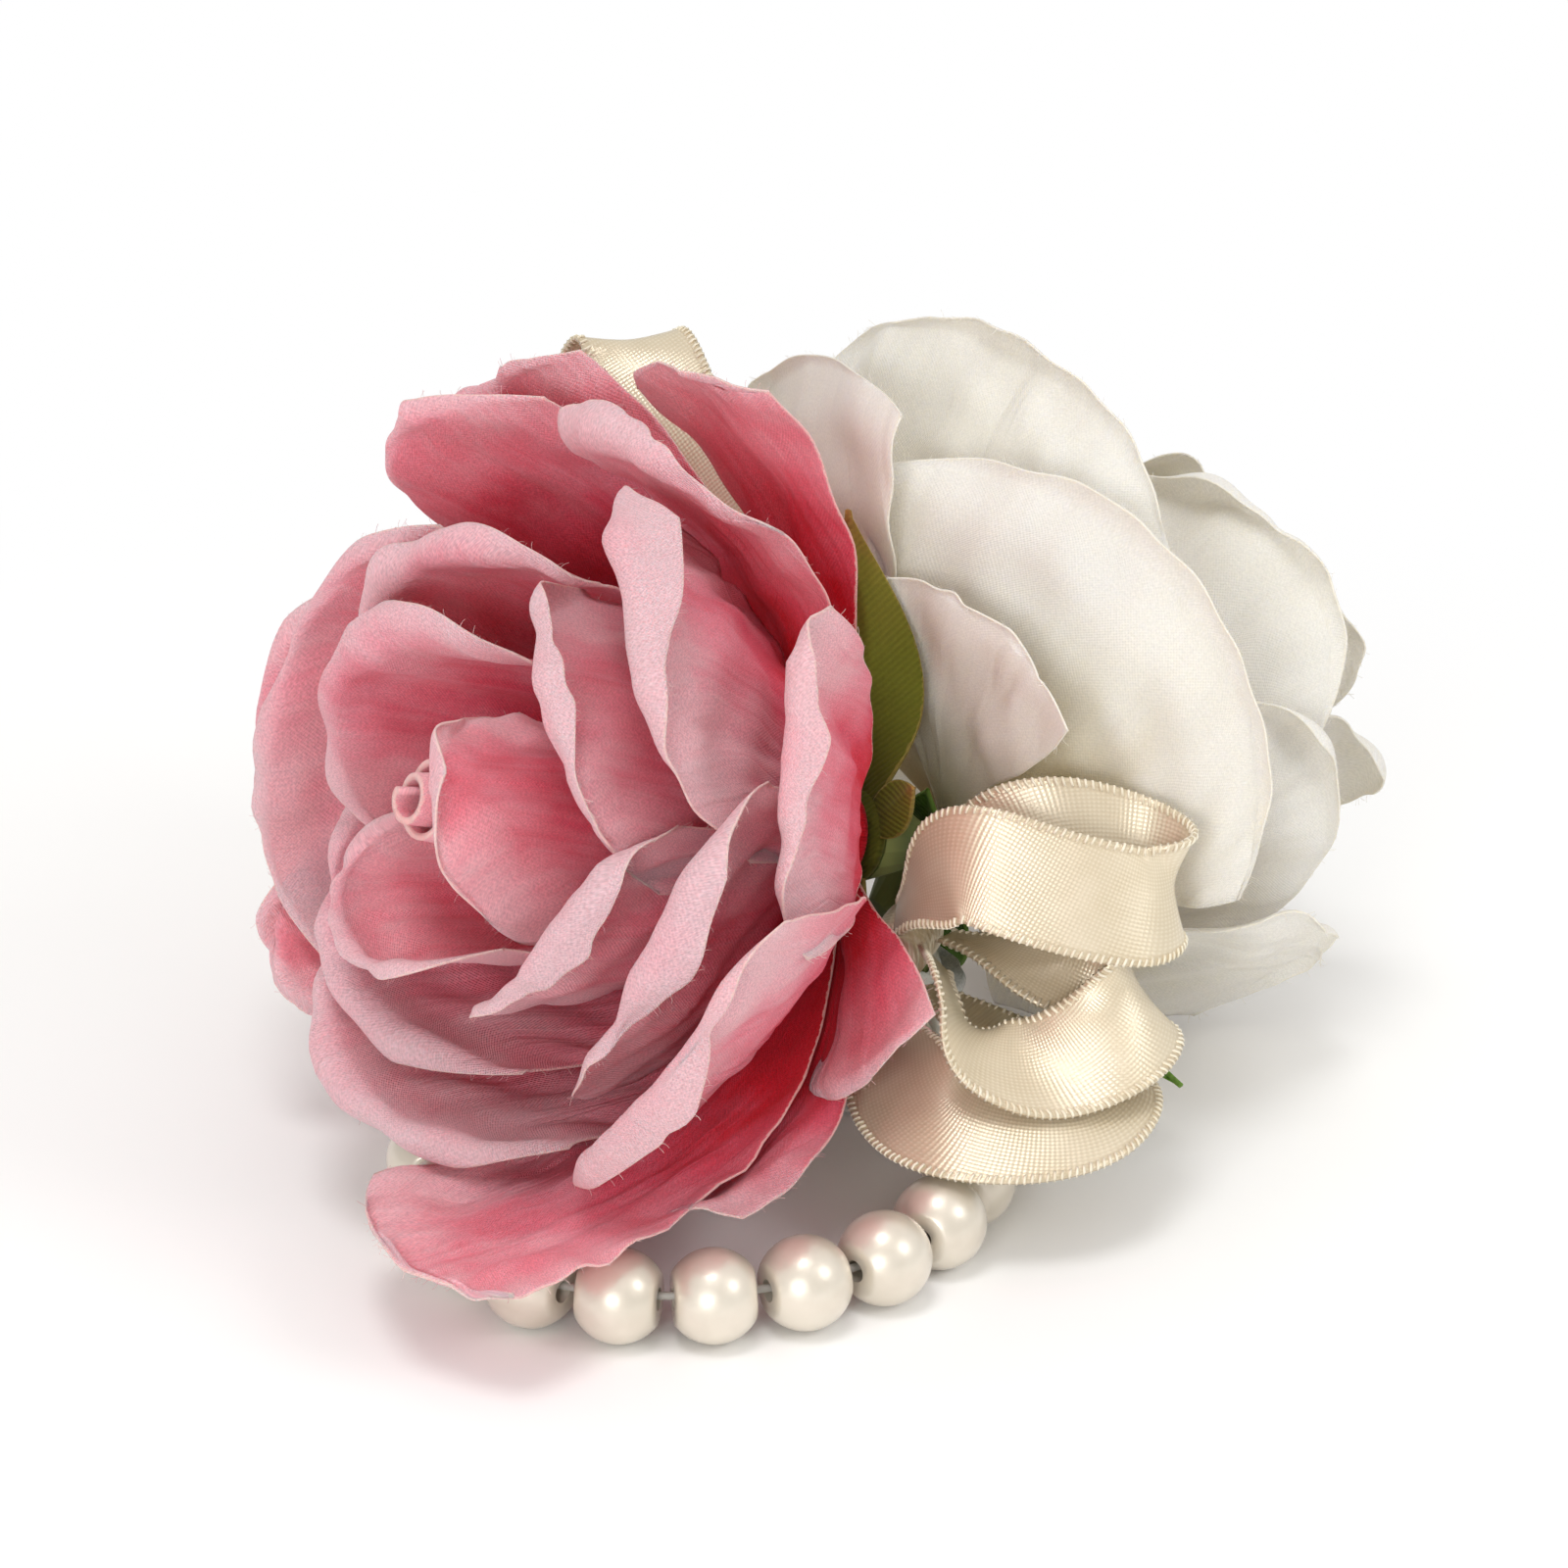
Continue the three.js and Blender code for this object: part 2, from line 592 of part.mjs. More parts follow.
function stemCurve(flower, foot) {
  flower.updateMatrixWorld();
  const top = vec(0, 0, -STEM_TOP).applyMatrix4(flower.matrixWorld);
  const down = vec(0, 0, -STEM_TOP - STEM_D).applyMatrix4(flower.matrixWorld);
  const above = foot.clone().setZ(foot.z + STEM_D);
  return new THREE.CatmullRomCurve3([top, down, above, foot], false, 'centripetal');
}

const pinkCurve = stemCurve(pinkRose, PINK_FOOT);
const whiteCurve = stemCurve(whiteRose, WHITE_FOOT);
const STEM_STEPS = 8;
const STEM_SIDES = 8;
const DOME_STEPS = 4;
addMesh(root, 'pink_stem', tube(pinkCurve, STEM_D, STEM_SIDES, STEM_STEPS), STEM);
addMesh(root, 'white_stem', tube(whiteCurve, STEM_D, STEM_SIDES, STEM_STEPS), STEM);

// A dome with the two stems cut out of it, right through its flat underside
function glueMound() {
  const r = GLUE_MOUND_D / 2;
  const z = FELT_TOP + SEAT;
  const profile = [[0, z]];
  for (let i = 0; i < DOME_STEPS; i++) {
    const a = (i / DOME_STEPS) * Math.PI / 2;
    profile.push([r * Math.cos(a), z + GLUE_MOUND_H * Math.sin(a)]);
  }
  const sides = 16;
  const dome = revolve([...profile, [0, z + GLUE_MOUND_H]], sides);
  dome.translate(FELT_CENTRE.x, FELT_CENTRE.y, 0);
  let mound = toManifold(dome);
  for (const curve of [pinkCurve, whiteCurve]) {
    mound = mound.subtract(toManifold(tube(curve, STEM_D + 2 * FIT, STEM_SIDES, STEM_STEPS)));
  }
  return toGeometry(mound);
}
addMesh(root, 'glue_mound', glueMound(), GLUE);

// The bow. Its binding is tied to the pink rose's stem, and each loop of ribbon starts and ends at it.
const BOW_FRONT = fromMount(0.9, -17.7, 10.4);
const BOW_BACK = fromMount(3.9, -9.7, 10.4);

function bindingGeometry() {
  const length = BOW_FRONT.distanceTo(BOW_BACK);
  const r = BINDING_D / 2;
  const waist = r * 0.8;
  const shoulder = length * 0.3;
  const sides = 14;
  return revolve([
    [0, 0], [r, 0], [r, shoulder], [waist, length / 2], [r, length - shoulder], [r, length], [0, length],
  ], sides);
}
const binding = addMesh(root, 'bow_binding', bindingGeometry(), SATIN);
binding.position.copy(BOW_FRONT);
binding.quaternion.setFromUnitVectors(vec(0, 0, 1), BOW_BACK.clone().sub(BOW_FRONT).normalize());

// A ribbon follows its stations, each a point of its middle line and the way that its width points there.
// It is drawn in at both ends, where the binding holds it.
function ribbonGeometry(stations) {
  const gathered = 0.4; // width at the ends, as a share of the full width
  const gather = 0.16; // share of the length over which it opens out
  const middle = new THREE.CatmullRomCurve3(stations.map((s) => s.at), false, 'centripetal');
  const width = new THREE.CatmullRomCurve3(stations.map((s) => s.across), false, 'catmullrom');
  const surface = (u, v) => {
    const forward = middle.getTangent(v);
    const across = width.getPoint(v);
    across.addScaledVector(forward, -across.dot(forward)).normalize();
    const fromEnd = Math.min(v, 1 - v);
    const drawn = gathered + (1 - gathered) * smooth(Math.min(fromEnd / gather, 1));
    return middle.getPoint(v).addScaledVector(across, (u * drawn * RIBBON_W) / 2);
  };
  return sheet(surface, RIBBON_COLUMNS, RIBBON_STEPS, RIBBON_T);
}
const RIBBON_COLUMNS = 2;
const RIBBON_STEPS = 20;
const station = (at, across) => ({ at: fromMount(...at), across: vec(...across) });

const UPPER_LOOP = [
  station([1.4, -17.2, 14.8], [0, 1, 0.2]),
  station([3.9, -21.7, 20.4], [-0.2, 0.5, 0.7]),
  station([7.9, -25.2, 24.8], [0.1, 0.45, 0.89]),
  station([17.9, -27.4, 22.6], [0.15, 0.45, 0.89]),
  station([27.4, -26.7, 20.4], [0.1, 0.45, 0.89]),
  station([30.4, -22.7, 21], [0, 0.45, 0.89]),
  station([26.4, -19.2, 22.8], [0, 0.45, 0.89]),
  station([16.9, -18.7, 25], [0, 0.45, 0.89]),
  station([7.9, -17.2, 20.9], [-0.2, 0.6, 0.8]),
  station([3.9, -13.2, 15.2], [0, 1, 0.2]),
];
const MIDDLE_LOOP = [
  station([6.9, -14.7, 11.4], [-0.4, 0.9, -0.1]),
  station([13.4, -19.7, 10.9], [-0.6, 0.7, -0.1]),
  station([20.9, -23.7, 11.4], [-0.8, 0.55, -0.1]),
  station([25.9, -29.5, 11], [-0.85, 0.52, 0]),
  station([22.7, -32.8, 7.4], [-0.68, 0.68, 0.27]),
  station([15.3, -33.9, 5.3], [-0.41, 0.8, 0.44]),
  station([8.9, -32.4, 7.4], [-0.13, 0.94, 0.31]),
  station([6.3, -27.7, 11.4], [0.03, 0.97, -0.24]),
  station([5.5, -19.7, 10.9], [0, 0.97, -0.2]),
];
const LOWER_LOOP = [
  station([1.2, -17.7, 6.2], [0.95, 0, 0.1]),
  station([0.4, -23.7, 3.8], [0.9, 0, 0.4]),
  station([1.4, -31.7, 2.2], [0.75, 0.15, 0.6]),
  station([5.4, -37.7, 0.9], [0.35, 0.75, 0.5]),
  station([12.9, -39.2, 0.6], [0, 0.85, 0.53]),
  station([20.2, -37.2, 1.2], [-0.45, 0.75, 0.48]),
  station([22.9, -32.7, 2.4], [-0.7, 0.6, 0.3]),
  station([20.4, -27.7, 3.2], [-0.6, 0.7, 0.2]),
  station([13.9, -23.7, 3.4], [-0.3, 0.9, 0]),
  station([7.9, -18.7, 4.8], [0, 1, 0]),
  station([5.1, -15.2, 5.7], [0, 1, 0]),
];
const REAR_LEFT_LOOP = [
  station([-1.6, -7.7, 9.9], [0.3, -0.3, 0.8]),
  station([-7.1, -4.7, 10.4], [0.33, -0.4, 0.71]),
  station([-7.1, 4.3, 17.4], [0.33, -0.6, 0.71]),
  station([-14.6, 16.3, 37.4], [0.5, -0.5, 0.66]),
  station([-23.1, 28.3, 56.4], [0.9, 0, 0.3]),
  station([-26.6, 35.3, 61.4], [0.97, 0.2, 0]),
  station([-29.1, 37.3, 55.4], [0.97, 0.2, 0]),
  station([-24.6, 28.3, 46.4], [0.9, 0, 0.3]),
  station([-15.1, 16.3, 31.4], [0.5, -0.5, 0.66]),
  station([-7.1, 5.3, 13.4], [0.33, -0.6, 0.71]),
  station([-6.6, -4.2, 7.4], [0.33, -0.4, 0.71]),
  station([-1.1, -7.7, 6.4], [0.3, -0.3, 0.8]),
];

addMesh(root, 'ribbon_upper_loop', ribbonGeometry(UPPER_LOOP), SATIN);
addMesh(root, 'ribbon_middle_loop', ribbonGeometry(MIDDLE_LOOP), SATIN);
addMesh(root, 'ribbon_lower_loop', ribbonGeometry(LOWER_LOOP), SATIN);
addMesh(root, 'ribbon_rear_left_loop', ribbonGeometry(REAR_LEFT_LOOP), SATIN);

export default root;
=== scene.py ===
# %% [markdown]
# # A flower bracelet: two cloth roses, a satin bow and a string of pearls
# The bracelet comes from a fixed frame that already says where every piece sits and how it moves.
# This lesson gives each piece its looks: cloth, pearl, satin, felt and glue.

# %% Load the frame
import math
import bmesh
import bpy
import numpy as np
from mathutils import Matrix, Vector, noise


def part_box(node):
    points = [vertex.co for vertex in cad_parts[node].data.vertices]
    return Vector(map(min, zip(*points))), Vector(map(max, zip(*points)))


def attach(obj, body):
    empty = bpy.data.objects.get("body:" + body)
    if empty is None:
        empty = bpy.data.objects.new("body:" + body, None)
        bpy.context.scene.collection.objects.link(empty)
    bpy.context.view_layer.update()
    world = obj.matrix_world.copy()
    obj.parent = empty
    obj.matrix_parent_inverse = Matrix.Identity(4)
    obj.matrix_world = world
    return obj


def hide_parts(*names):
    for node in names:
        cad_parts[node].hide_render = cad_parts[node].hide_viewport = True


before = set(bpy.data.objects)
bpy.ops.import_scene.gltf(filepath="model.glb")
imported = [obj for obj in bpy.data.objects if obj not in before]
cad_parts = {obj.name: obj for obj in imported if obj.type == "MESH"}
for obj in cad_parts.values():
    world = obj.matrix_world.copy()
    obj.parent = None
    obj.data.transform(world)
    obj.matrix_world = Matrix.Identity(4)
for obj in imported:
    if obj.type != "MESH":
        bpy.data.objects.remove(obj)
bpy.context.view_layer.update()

MM = 0.001


def box_mm(node):
    """The lowest and highest corner of a node of the frame, in millimetres."""
    return [np.array(corner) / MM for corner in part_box(node)]


felt_low, felt_high = box_mm("upper_felt")
MOUNT = np.array([*((felt_low + felt_high) / 2)[:2], felt_high[2]])
print("the bouquet stands on the felt at", MOUNT.round(2))

# %% [markdown]
# ## Small tools for objects and materials
# Everything in Blender is an object that holds some data, such as a mesh, a lamp or a camera.
# A material is a chain of nodes. These helpers add a node, fill its inputs and join the wires.

# %% Tools for objects


def new_object(name, data):
    """An object that holds the data, put into the scene."""
    thing = bpy.data.objects.new(name, data)
    bpy.context.collection.objects.link(thing)
    return thing


def new_mesh(name, points, faces=(), links=()):
    """A mesh from points in millimetres."""
    mesh = bpy.data.meshes.new(name)
    faces = faces.tolist() if isinstance(faces, np.ndarray) else list(faces)
    mesh.from_pydata((np.asarray(points, float) * MM).tolist(), list(links), faces)
    return mesh


def carry(mesh, label, values):
    """Gives every point of a mesh a number or a direction to carry, as a note."""
    values = np.asarray(values, np.float32)
    kind, field = ("FLOAT", "value") if values.ndim == 1 else ("FLOAT_VECTOR", "vector")
    mesh.attributes.new(label, kind, "POINT").data.foreach_set(field, values.ravel())


print("tools for objects are ready")

# %% [markdown]
# A node has inputs and results. An input takes a plain value, or a wire from the result of another node.

# %% Tools for nodes


def add_node(tree, kind, inputs=None, **settings):
    """A node with its settings and inputs; an input that is a socket is wired, anything else is a value."""
    node = tree.nodes.new(kind)
    for name, value in settings.items():
        setattr(node, name, value)
    for name, value in (inputs or {}).items():
        if isinstance(value, bpy.types.NodeSocket):
            tree.links.new(value, node.inputs[name])
        else:
            node.inputs[name].default_value = value
    return node


def result(tree, kind, inputs=None, **settings):
    """The first result of a new node."""
    return add_node(tree, kind, inputs, **settings).outputs[0]


def new_material(name):
    """An empty material and its tree."""
    material = bpy.data.materials.new(name)
    material.use_nodes = True
    material.node_tree.nodes.clear()
    return material, material.node_tree


def math_node(tree, operation, a, b=0.0):
    """The result of a sum, product, sine and so on."""
    return result(tree, "ShaderNodeMath", {0: a, 1: b}, operation=operation)


def total(tree, *values):
    """The sum of several values."""
    so_far = values[0]
    for value in values[1:]:
        so_far = math_node(tree, "ADD", so_far, value)
    return so_far


def alike(tree, value):
    """One number as all three parts of a colour or a direction."""
    return result(tree, "ShaderNodeCombineXYZ", {0: value, 1: value, 2: value})


def mix_colours(tree, share, a, b, blend="MIX"):
    """Colour a turned into colour b by a share."""
    node = add_node(tree, "ShaderNodeMix", {0: share, 6: a, 7: b}, data_type="RGBA", blend_type=blend)
    return node.outputs[2]


def remap(tree, value, low, high, to_low=0.0, to_high=1.0):
    """A value between low and high, turned smoothly into the new range."""
    inputs = {"Value": value, "From Min": low, "From Max": high, "To Min": to_low, "To Max": to_high}
    return result(tree, "ShaderNodeMapRange", inputs, interpolation_type="SMOOTHSTEP")


print("tools for nodes are ready")

# %% [markdown]
# The materials of this lesson use colours along a value, spots of noise and small bumps. Where they go
# follows from the notes and the flat layout that a mesh carries.

# %% Tools for materials


def ramp(tree, value, stops):
    """Colours along a value, as (place, colour)."""
    node = add_node(tree, "ShaderNodeValToRGB", {"Fac": value})
    band = node.color_ramp
    while len(band.elements) < len(stops):
        band.elements.new(0.5)
    for element, (place, colour) in zip(band.elements, stops):
        element.position = place
        element.color = (*colour, 1)
    return node.outputs["Color"]


def note(tree, label):
    """A number that the mesh carries at every point."""
    return add_node(tree, "ShaderNodeAttribute", attribute_name=label).outputs["Fac"]


def own_place(tree):
    """Where a point lies on its own piece, in metres."""
    return add_node(tree, "ShaderNodeTexCoord").outputs["Object"]


def flat_place(tree):
    """Where a point lies on the flat layout of its cloth."""
    return result(tree, "ShaderNodeUVMap", uv_map="cloth")


def spots(tree, place, scale, detail=2.0, distortion=0.0):
    """Soft random spots from 0 to 1."""
    inputs = {"Vector": place, "Scale": scale, "Detail": detail, "Distortion": distortion}
    return result(tree, "ShaderNodeTexNoise", inputs)


def bumps(tree, height, strength, depth):
    """Small bumps that follow a height, their depth in millimetres."""
    return result(tree, "ShaderNodeBump", {"Strength": strength, "Distance": depth * MM, "Height": height})


def finish_material(tree, **inputs):
    """The shader itself, its inputs named with underscores, and the output."""
    named = {name.replace("_", " ").replace("Ior", "IOR"): value for name, value in inputs.items()}
    shader = result(tree, "ShaderNodeBsdfPrincipled", named)
    add_node(tree, "ShaderNodeOutputMaterial", {"Surface": shader})


print("tools for materials are ready")

# %% [markdown]
# ## The camera
# The photographer stood in front of the bracelet and looked down at about 28 degrees with a long lens.
# A long lens keeps the far petals nearly as large as the near ones, so the flowers look flat and calm.

# %% Set the camera
STAND_BACK = 0.620
STAND_OVER = Vector((0, 0, 5 * MM))
LOOK_DOWN = math.radians(28)
PICTURE = 1600
LENS_PIXELS = 5900
SENSOR = 36.0
AIM_RIGHT, AIM_UP = 124, 372

forward = Vector((0, math.cos(LOOK_DOWN), -math.sin(LOOK_DOWN)))
above = Vector((0, math.sin(LOOK_DOWN), math.cos(LOOK_DOWN)))
aim = forward * LENS_PIXELS + Vector((1, 0, 0)) * AIM_RIGHT + above * AIM_UP
camera_data = bpy.data.cameras.new("photo_camera")
camera_data.sensor_width = SENSOR
camera_data.lens = SENSOR * LENS_PIXELS / PICTURE
camera = new_object("photo_camera", camera_data)
camera.location = STAND_OVER - forward * STAND_BACK
camera.rotation_euler = aim.to_track_quat("-Z", "Y").to_euler()
scene = bpy.context.scene
scene.camera = camera
print("lens", round(camera_data.lens, 1), "mm")

# %% [markdown]
# ## A white table
# The picture was taken on white paper. A big plane under the bracelet catches its shadow, and further out
# the paper fades to pure white for the camera.

# %% Lay the table
TABLE = 6000
WHITE_FROM, WHITE_AT = 0.09, 0.22

scene.view_settings.view_transform = "Standard"
corners = np.array([(-1, -1, 0), (1, -1, 0), (1, 1, 0), (-1, 1, 0)])
table_mesh = new_mesh("table", corners * TABLE / 2, [(0, 1, 2, 3)])
paper, tree = new_material("white_paper")
matt_white = {"Base Color": (0.95, 0.95, 0.945, 1), "Roughness": 0.9, "Specular IOR Level": 0.1}
matt = result(tree, "ShaderNodeBsdfPrincipled", matt_white)
far = add_node(tree, "ShaderNodeVectorMath", {0: own_place(tree)}, operation="LENGTH").outputs["Value"]
rays = add_node(tree, "ShaderNodeLightPath").outputs
seen = math_node(tree, "MAXIMUM", rays["Is Camera Ray"], rays["Is Glossy Ray"])
seen = math_node(tree, "MAXIMUM", seen, rays["Is Transmission Ray"])
whiteness = math_node(tree, "MULTIPLY", seen, remap(tree, far, WHITE_FROM, WHITE_AT))
glow = result(tree, "ShaderNodeEmission")
surface = result(tree, "ShaderNodeMixShader", {0: whiteness, 1: matt, 2: glow})
add_node(tree, "ShaderNodeOutputMaterial", {"Surface": surface})
table_mesh.materials.append(paper)
table = new_object("table", table_mesh)
print("table laid,", TABLE, "millimetres wide")

# %% [markdown]
# ## Soft studio light
# A round lamp overhead lights the rolled rims of the petals, and a lower one in front gives the satin its
# bright bands; each pearl shows both as soft highlights. A third lamp fills the right side. The room is
# bright above and darker low down, which is what gives a shiny ball its grey lower side.

# %% Hang the lamps
LAMP_AIM = Vector((0.01, 0.01, 0.03))
LAMPS = {
    "overhead_lamp": ((-0.12, -0.30, 1.25), 0.46, 4.1),
    "front_lamp": ((-0.30, -1.08, 0.34), 0.40, 4.3),
    "right_lamp": ((0.85, -0.45, 0.75), 0.46, 2.3),
}
ROOM_COLOUR = (1.0, 0.985, 0.965, 1)
ROOM_LIGHT = {"From Min": -0.05, "From Max": 0.9, "To Min": 0.60, "To Max": 0.80}

for name, (place, size, watts) in LAMPS.items():
    lamp_data = bpy.data.lights.new(name, "AREA")
    lamp_data.shape = "DISK"
    lamp_data.size = size
    lamp_data.energy = watts
    lamp = new_object(name, lamp_data)
    lamp.location = place
    lamp.rotation_euler = (LAMP_AIM - Vector(place)).to_track_quat("-Z", "Y").to_euler()
world = bpy.data.worlds.new("pale_room")
world.use_nodes = True
tree = world.node_tree
room_way = add_node(tree, "ShaderNodeTexCoord").outputs["Generated"]
room_height = add_node(tree, "ShaderNodeSeparateXYZ", {0: room_way}).outputs[2]
room_light = result(tree, "ShaderNodeMapRange", {"Value": room_height, **ROOM_LIGHT})
background = tree.nodes["Background"]
background.inputs["Color"].default_value = ROOM_COLOUR
tree.links.new(room_light, background.inputs["Strength"])
scene.world = world
print("lamps:", list(LAMPS))

# %% [markdown]
# ## Small tools for making pieces
# Cloth here is a grid of points. Every sheet gets two faces less than a millimetre apart and a closed rim.
# A sheet carries its own notes: how far along the petal a point is, how near the cut edge, and a flat layout
# of the cloth, so that threads can run straight through it as they do in real cloth.

# %% Tools for points and sheets
LAYOUT = 0.01
NO_CORD_RUNS = (0.13, 0.21, 1.0)


def smooth(t):
    """0 to 1 with a soft start and a soft end."""
    t = np.clip(t, 0, 1)
    return t * t * (3 - 2 * t)


def unit(v):
    """Vectors of length one."""
    return v / np.maximum(np.linalg.norm(v, axis=-1, keepdims=True), 1e-9)


def grid_normals(grid):
    """The direction each point of a grid faces."""
    along_columns = np.gradient(grid, axis=1)
    along_rows = np.gradient(grid, axis=0)
    return unit(np.cross(along_columns, along_rows))


def thick_sheet(middle, thickness):
    """Points and faces of a sheet of that thickness round a grid of middle points."""
    rows, columns = middle.shape[:2]
    facing = grid_normals(middle)
    top = (middle + facing * thickness / 2).reshape(-1, 3)
    under = (middle - facing * thickness / 2).reshape(-1, 3)
    count = rows * columns
    i = np.arange(count).reshape(rows, columns)
    a, b, c, d = i[:-1, :-1], i[:-1, 1:], i[1:, 1:], i[1:, :-1]
    upper = np.stack([a, b, c, d], -1).reshape(-1, 4)
    lower = np.stack([a, d, c, b], -1).reshape(-1, 4) + count
    ring = np.concatenate([i[0, :-1], i[:-1, -1], i[-1, :0:-1], i[:0:-1, 0]])
    after = np.roll(ring, -1)
    rim = np.stack([after, ring, ring + count, after + count], -1)
    return np.concatenate([top, under]), np.concatenate([upper, lower, rim])


def lathe(profile, sides):
    """Points and faces of a closed ring of profile points (radius, height) turned about Z."""
    profile = np.asarray(profile, float)
    turn = np.linspace(0, 2 * np.pi, sides, endpoint=False)
    radius, height = profile[:, 0], profile[:, 1]
    points = np.stack(
        [np.outer(np.cos(turn), radius), np.outer(np.sin(turn), radius), np.outer(np.ones(sides), height)], -1
    )
    n = len(profile)
    i = np.arange(sides * n).reshape(sides, n)
    right, up = np.roll(i, -1, 0), np.roll(i, -1, 1)
    both = np.roll(right, -1, 1)
    return points.reshape(-1, 3), np.stack([i, right, both, up], -1).reshape(-1, 4)


def tube(path, radius, sides=8):
    """Points and faces of a round cord along a path, closed at both ends."""
    path = np.asarray(path, float)
    ahead = unit(np.gradient(path, axis=0))
    side = unit(np.cross(ahead, NO_CORD_RUNS))
    lift = np.cross(side, ahead)
    turn = np.linspace(0, 2 * np.pi, sides, endpoint=False)
    points = path[:, None] + radius * (
        np.cos(turn)[None, :, None] * side[:, None] + np.sin(turn)[None, :, None] * lift[:, None]
    )
    i = np.arange(len(path) * sides).reshape(len(path), sides)
    beside = np.roll(i, -1, 1)
    walls = np.stack([i[:-1], i[1:], beside[1:], beside[:-1]], -1).reshape(-1, 4).tolist()
    return points.reshape(-1, 3), walls + [i[0].tolist(), i[-1][::-1].tolist()]


def ball(radius, sides, rows):
    """Points and faces of a ball, with a single point at each end of its axis."""
    tilt = np.linspace(0, np.pi, rows + 1)[1:-1]
    points, _ = lathe(np.stack([np.sin(tilt), -np.cos(tilt)], -1) * radius, sides)
    i = np.arange(len(points)).reshape(sides, rows - 1)
    beside = np.roll(i, -1, 0)
    walls = np.stack([i[:, :-1], beside[:, :-1], beside[:, 1:], i[:, 1:]], -1).reshape(-1, 4).tolist()
    low, high = len(points), len(points) + 1
    caps = [[low, b, a] for a, b in zip(i[:, 0], beside[:, 0])]
    caps += [[high, a, b] for a, b in zip(i[:, -1], beside[:, -1])]
    return np.concatenate([points, [(0, 0, -radius), (0, 0, radius)]]), walls + caps


print("a millimetre of cloth is", LAYOUT, "in its flat layout")

# %% [markdown]
# A finished mesh becomes a piece: it rides on a body of the frame, and may take the place of a plain solid
# there.

# %% Tools for pieces


def place_piece(name, mesh, replaces=(), body="flowers"):
    """An object for a finished mesh, that rides on a body of the frame."""
    piece = new_object(name, mesh)
    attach(piece, body)
    if replaces:
        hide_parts(*replaces)
    return piece


def make_piece(name, sheet, material, replaces=(), body="flowers"):
    """A smooth piece from points in millimetres and faces; a cloth adds its notes and its flat layout."""
    points, faces, *cloth = sheet
    mesh = new_mesh(name, points, faces)
    if cloth:
        notes, layout = cloth
        for label, values in notes.items():
            carry(mesh, label, values)
        corner = np.empty(len(mesh.loops), np.int32)
        mesh.loops.foreach_get("vertex_index", corner)
        flat = mesh.uv_layers.new(name="cloth")
        flat.uv.foreach_set("vector", np.asarray(layout, np.float32)[corner].ravel())
    mesh.shade_smooth()
    mesh.materials.append(material)
    return place_piece(name, mesh, replaces, body)


def repeated_shape(name, points, faces):
    """A small smooth shape that a tree of Geometry Nodes repeats."""
    mesh = new_mesh(name, points, faces)
    mesh.shade_smooth()
    return new_object(name, mesh)


print("tools for pieces are ready")

# %% [markdown]
# ## Small tools for Geometry Nodes
# A tree of Geometry Nodes is built like a material, from nodes and wires. Its named inputs are set by their
# identifiers before the tree first runs. The result becomes a plain mesh, so that nothing live is left.

# %% Tools for Geometry Nodes


def new_tree(name, inputs):
    """A tree with named inputs, the first of them a geometry, and one geometry as its result."""
    tree = bpy.data.node_groups.new(name, "GeometryNodeTree")
    for label, kind in inputs.items():
        tree.interface.new_socket(label, in_out="INPUT", socket_type=f"NodeSocket{kind}")
    tree.interface.new_socket("Result", in_out="OUTPUT", socket_type="NodeSocketGeometry")
    return tree, add_node(tree, "NodeGroupInput").outputs


def end_tree(tree, instances, paint):
    """Turns the instances into plain mesh, paints it and ends the tree."""
    solid = result(tree, "GeometryNodeRealizeInstances", {"Geometry": instances})
    painted = result(tree, "GeometryNodeSetMaterial", {"Geometry": solid, "Material": paint})
    add_node(tree, "NodeGroupOutput", {0: painted})
    return tree


def shape_of(tree, thing):
    """The shape of an object, ready to be repeated."""
    inputs = {"Object": thing, "As Instance": True}
    return add_node(tree, "GeometryNodeObjectInfo", inputs).outputs["Geometry"]


def turned_along(tree, label, axis, **start):
    """A turn that points an axis the way that a note of the mesh says."""
    way = result(tree, "GeometryNodeInputNamedAttribute", {"Name": label}, data_type="FLOAT_VECTOR")
    settings = {"pivot_axis": "X"} if start else {}
    return result(tree, "FunctionNodeAlignRotationToVector", {**start, "Vector": way}, axis=axis, **settings)


def apply_tree(name, base, tree, values, replaces=(), body="flowers"):
    """A plain mesh piece from a base mesh with a tree of Geometry Nodes run on it."""
    worker = new_object(f"{name}_worker", base)
    modifier = worker.modifiers.new("nodes", "NODES")
    modifier.node_group = tree
    sockets = {s.name: s.identifier for s in tree.interface.items_tree if s.in_out == "INPUT"}
    for socket, value in values.items():
        modifier[sockets[socket]] = value
    bpy.context.view_layer.update()
    graph = bpy.context.evaluated_depsgraph_get()
    mesh = bpy.data.meshes.new_from_object(worker.evaluated_get(graph))
    mesh.name = name
    bpy.data.objects.remove(worker)
    return place_piece(name, mesh, replaces, body)


print("tools for Geometry Nodes are ready")

# %% [markdown]
# One tree serves everything that sits along an edge: frayed threads on the petals and stitches on the
# ribbon. It walks along a line at an even pitch and repeats a small shape there.

# %% Build the edging tree
EDGING_INPUTS = {
    "Edge": "Geometry",
    "Pitch": "Float",
    "Kept share": "Float",
    "Askew": "Float",
    "Smallest": "Float",
    "Seed": "Int",
    "Shape": "Object",
    "Paint": "Material",
}


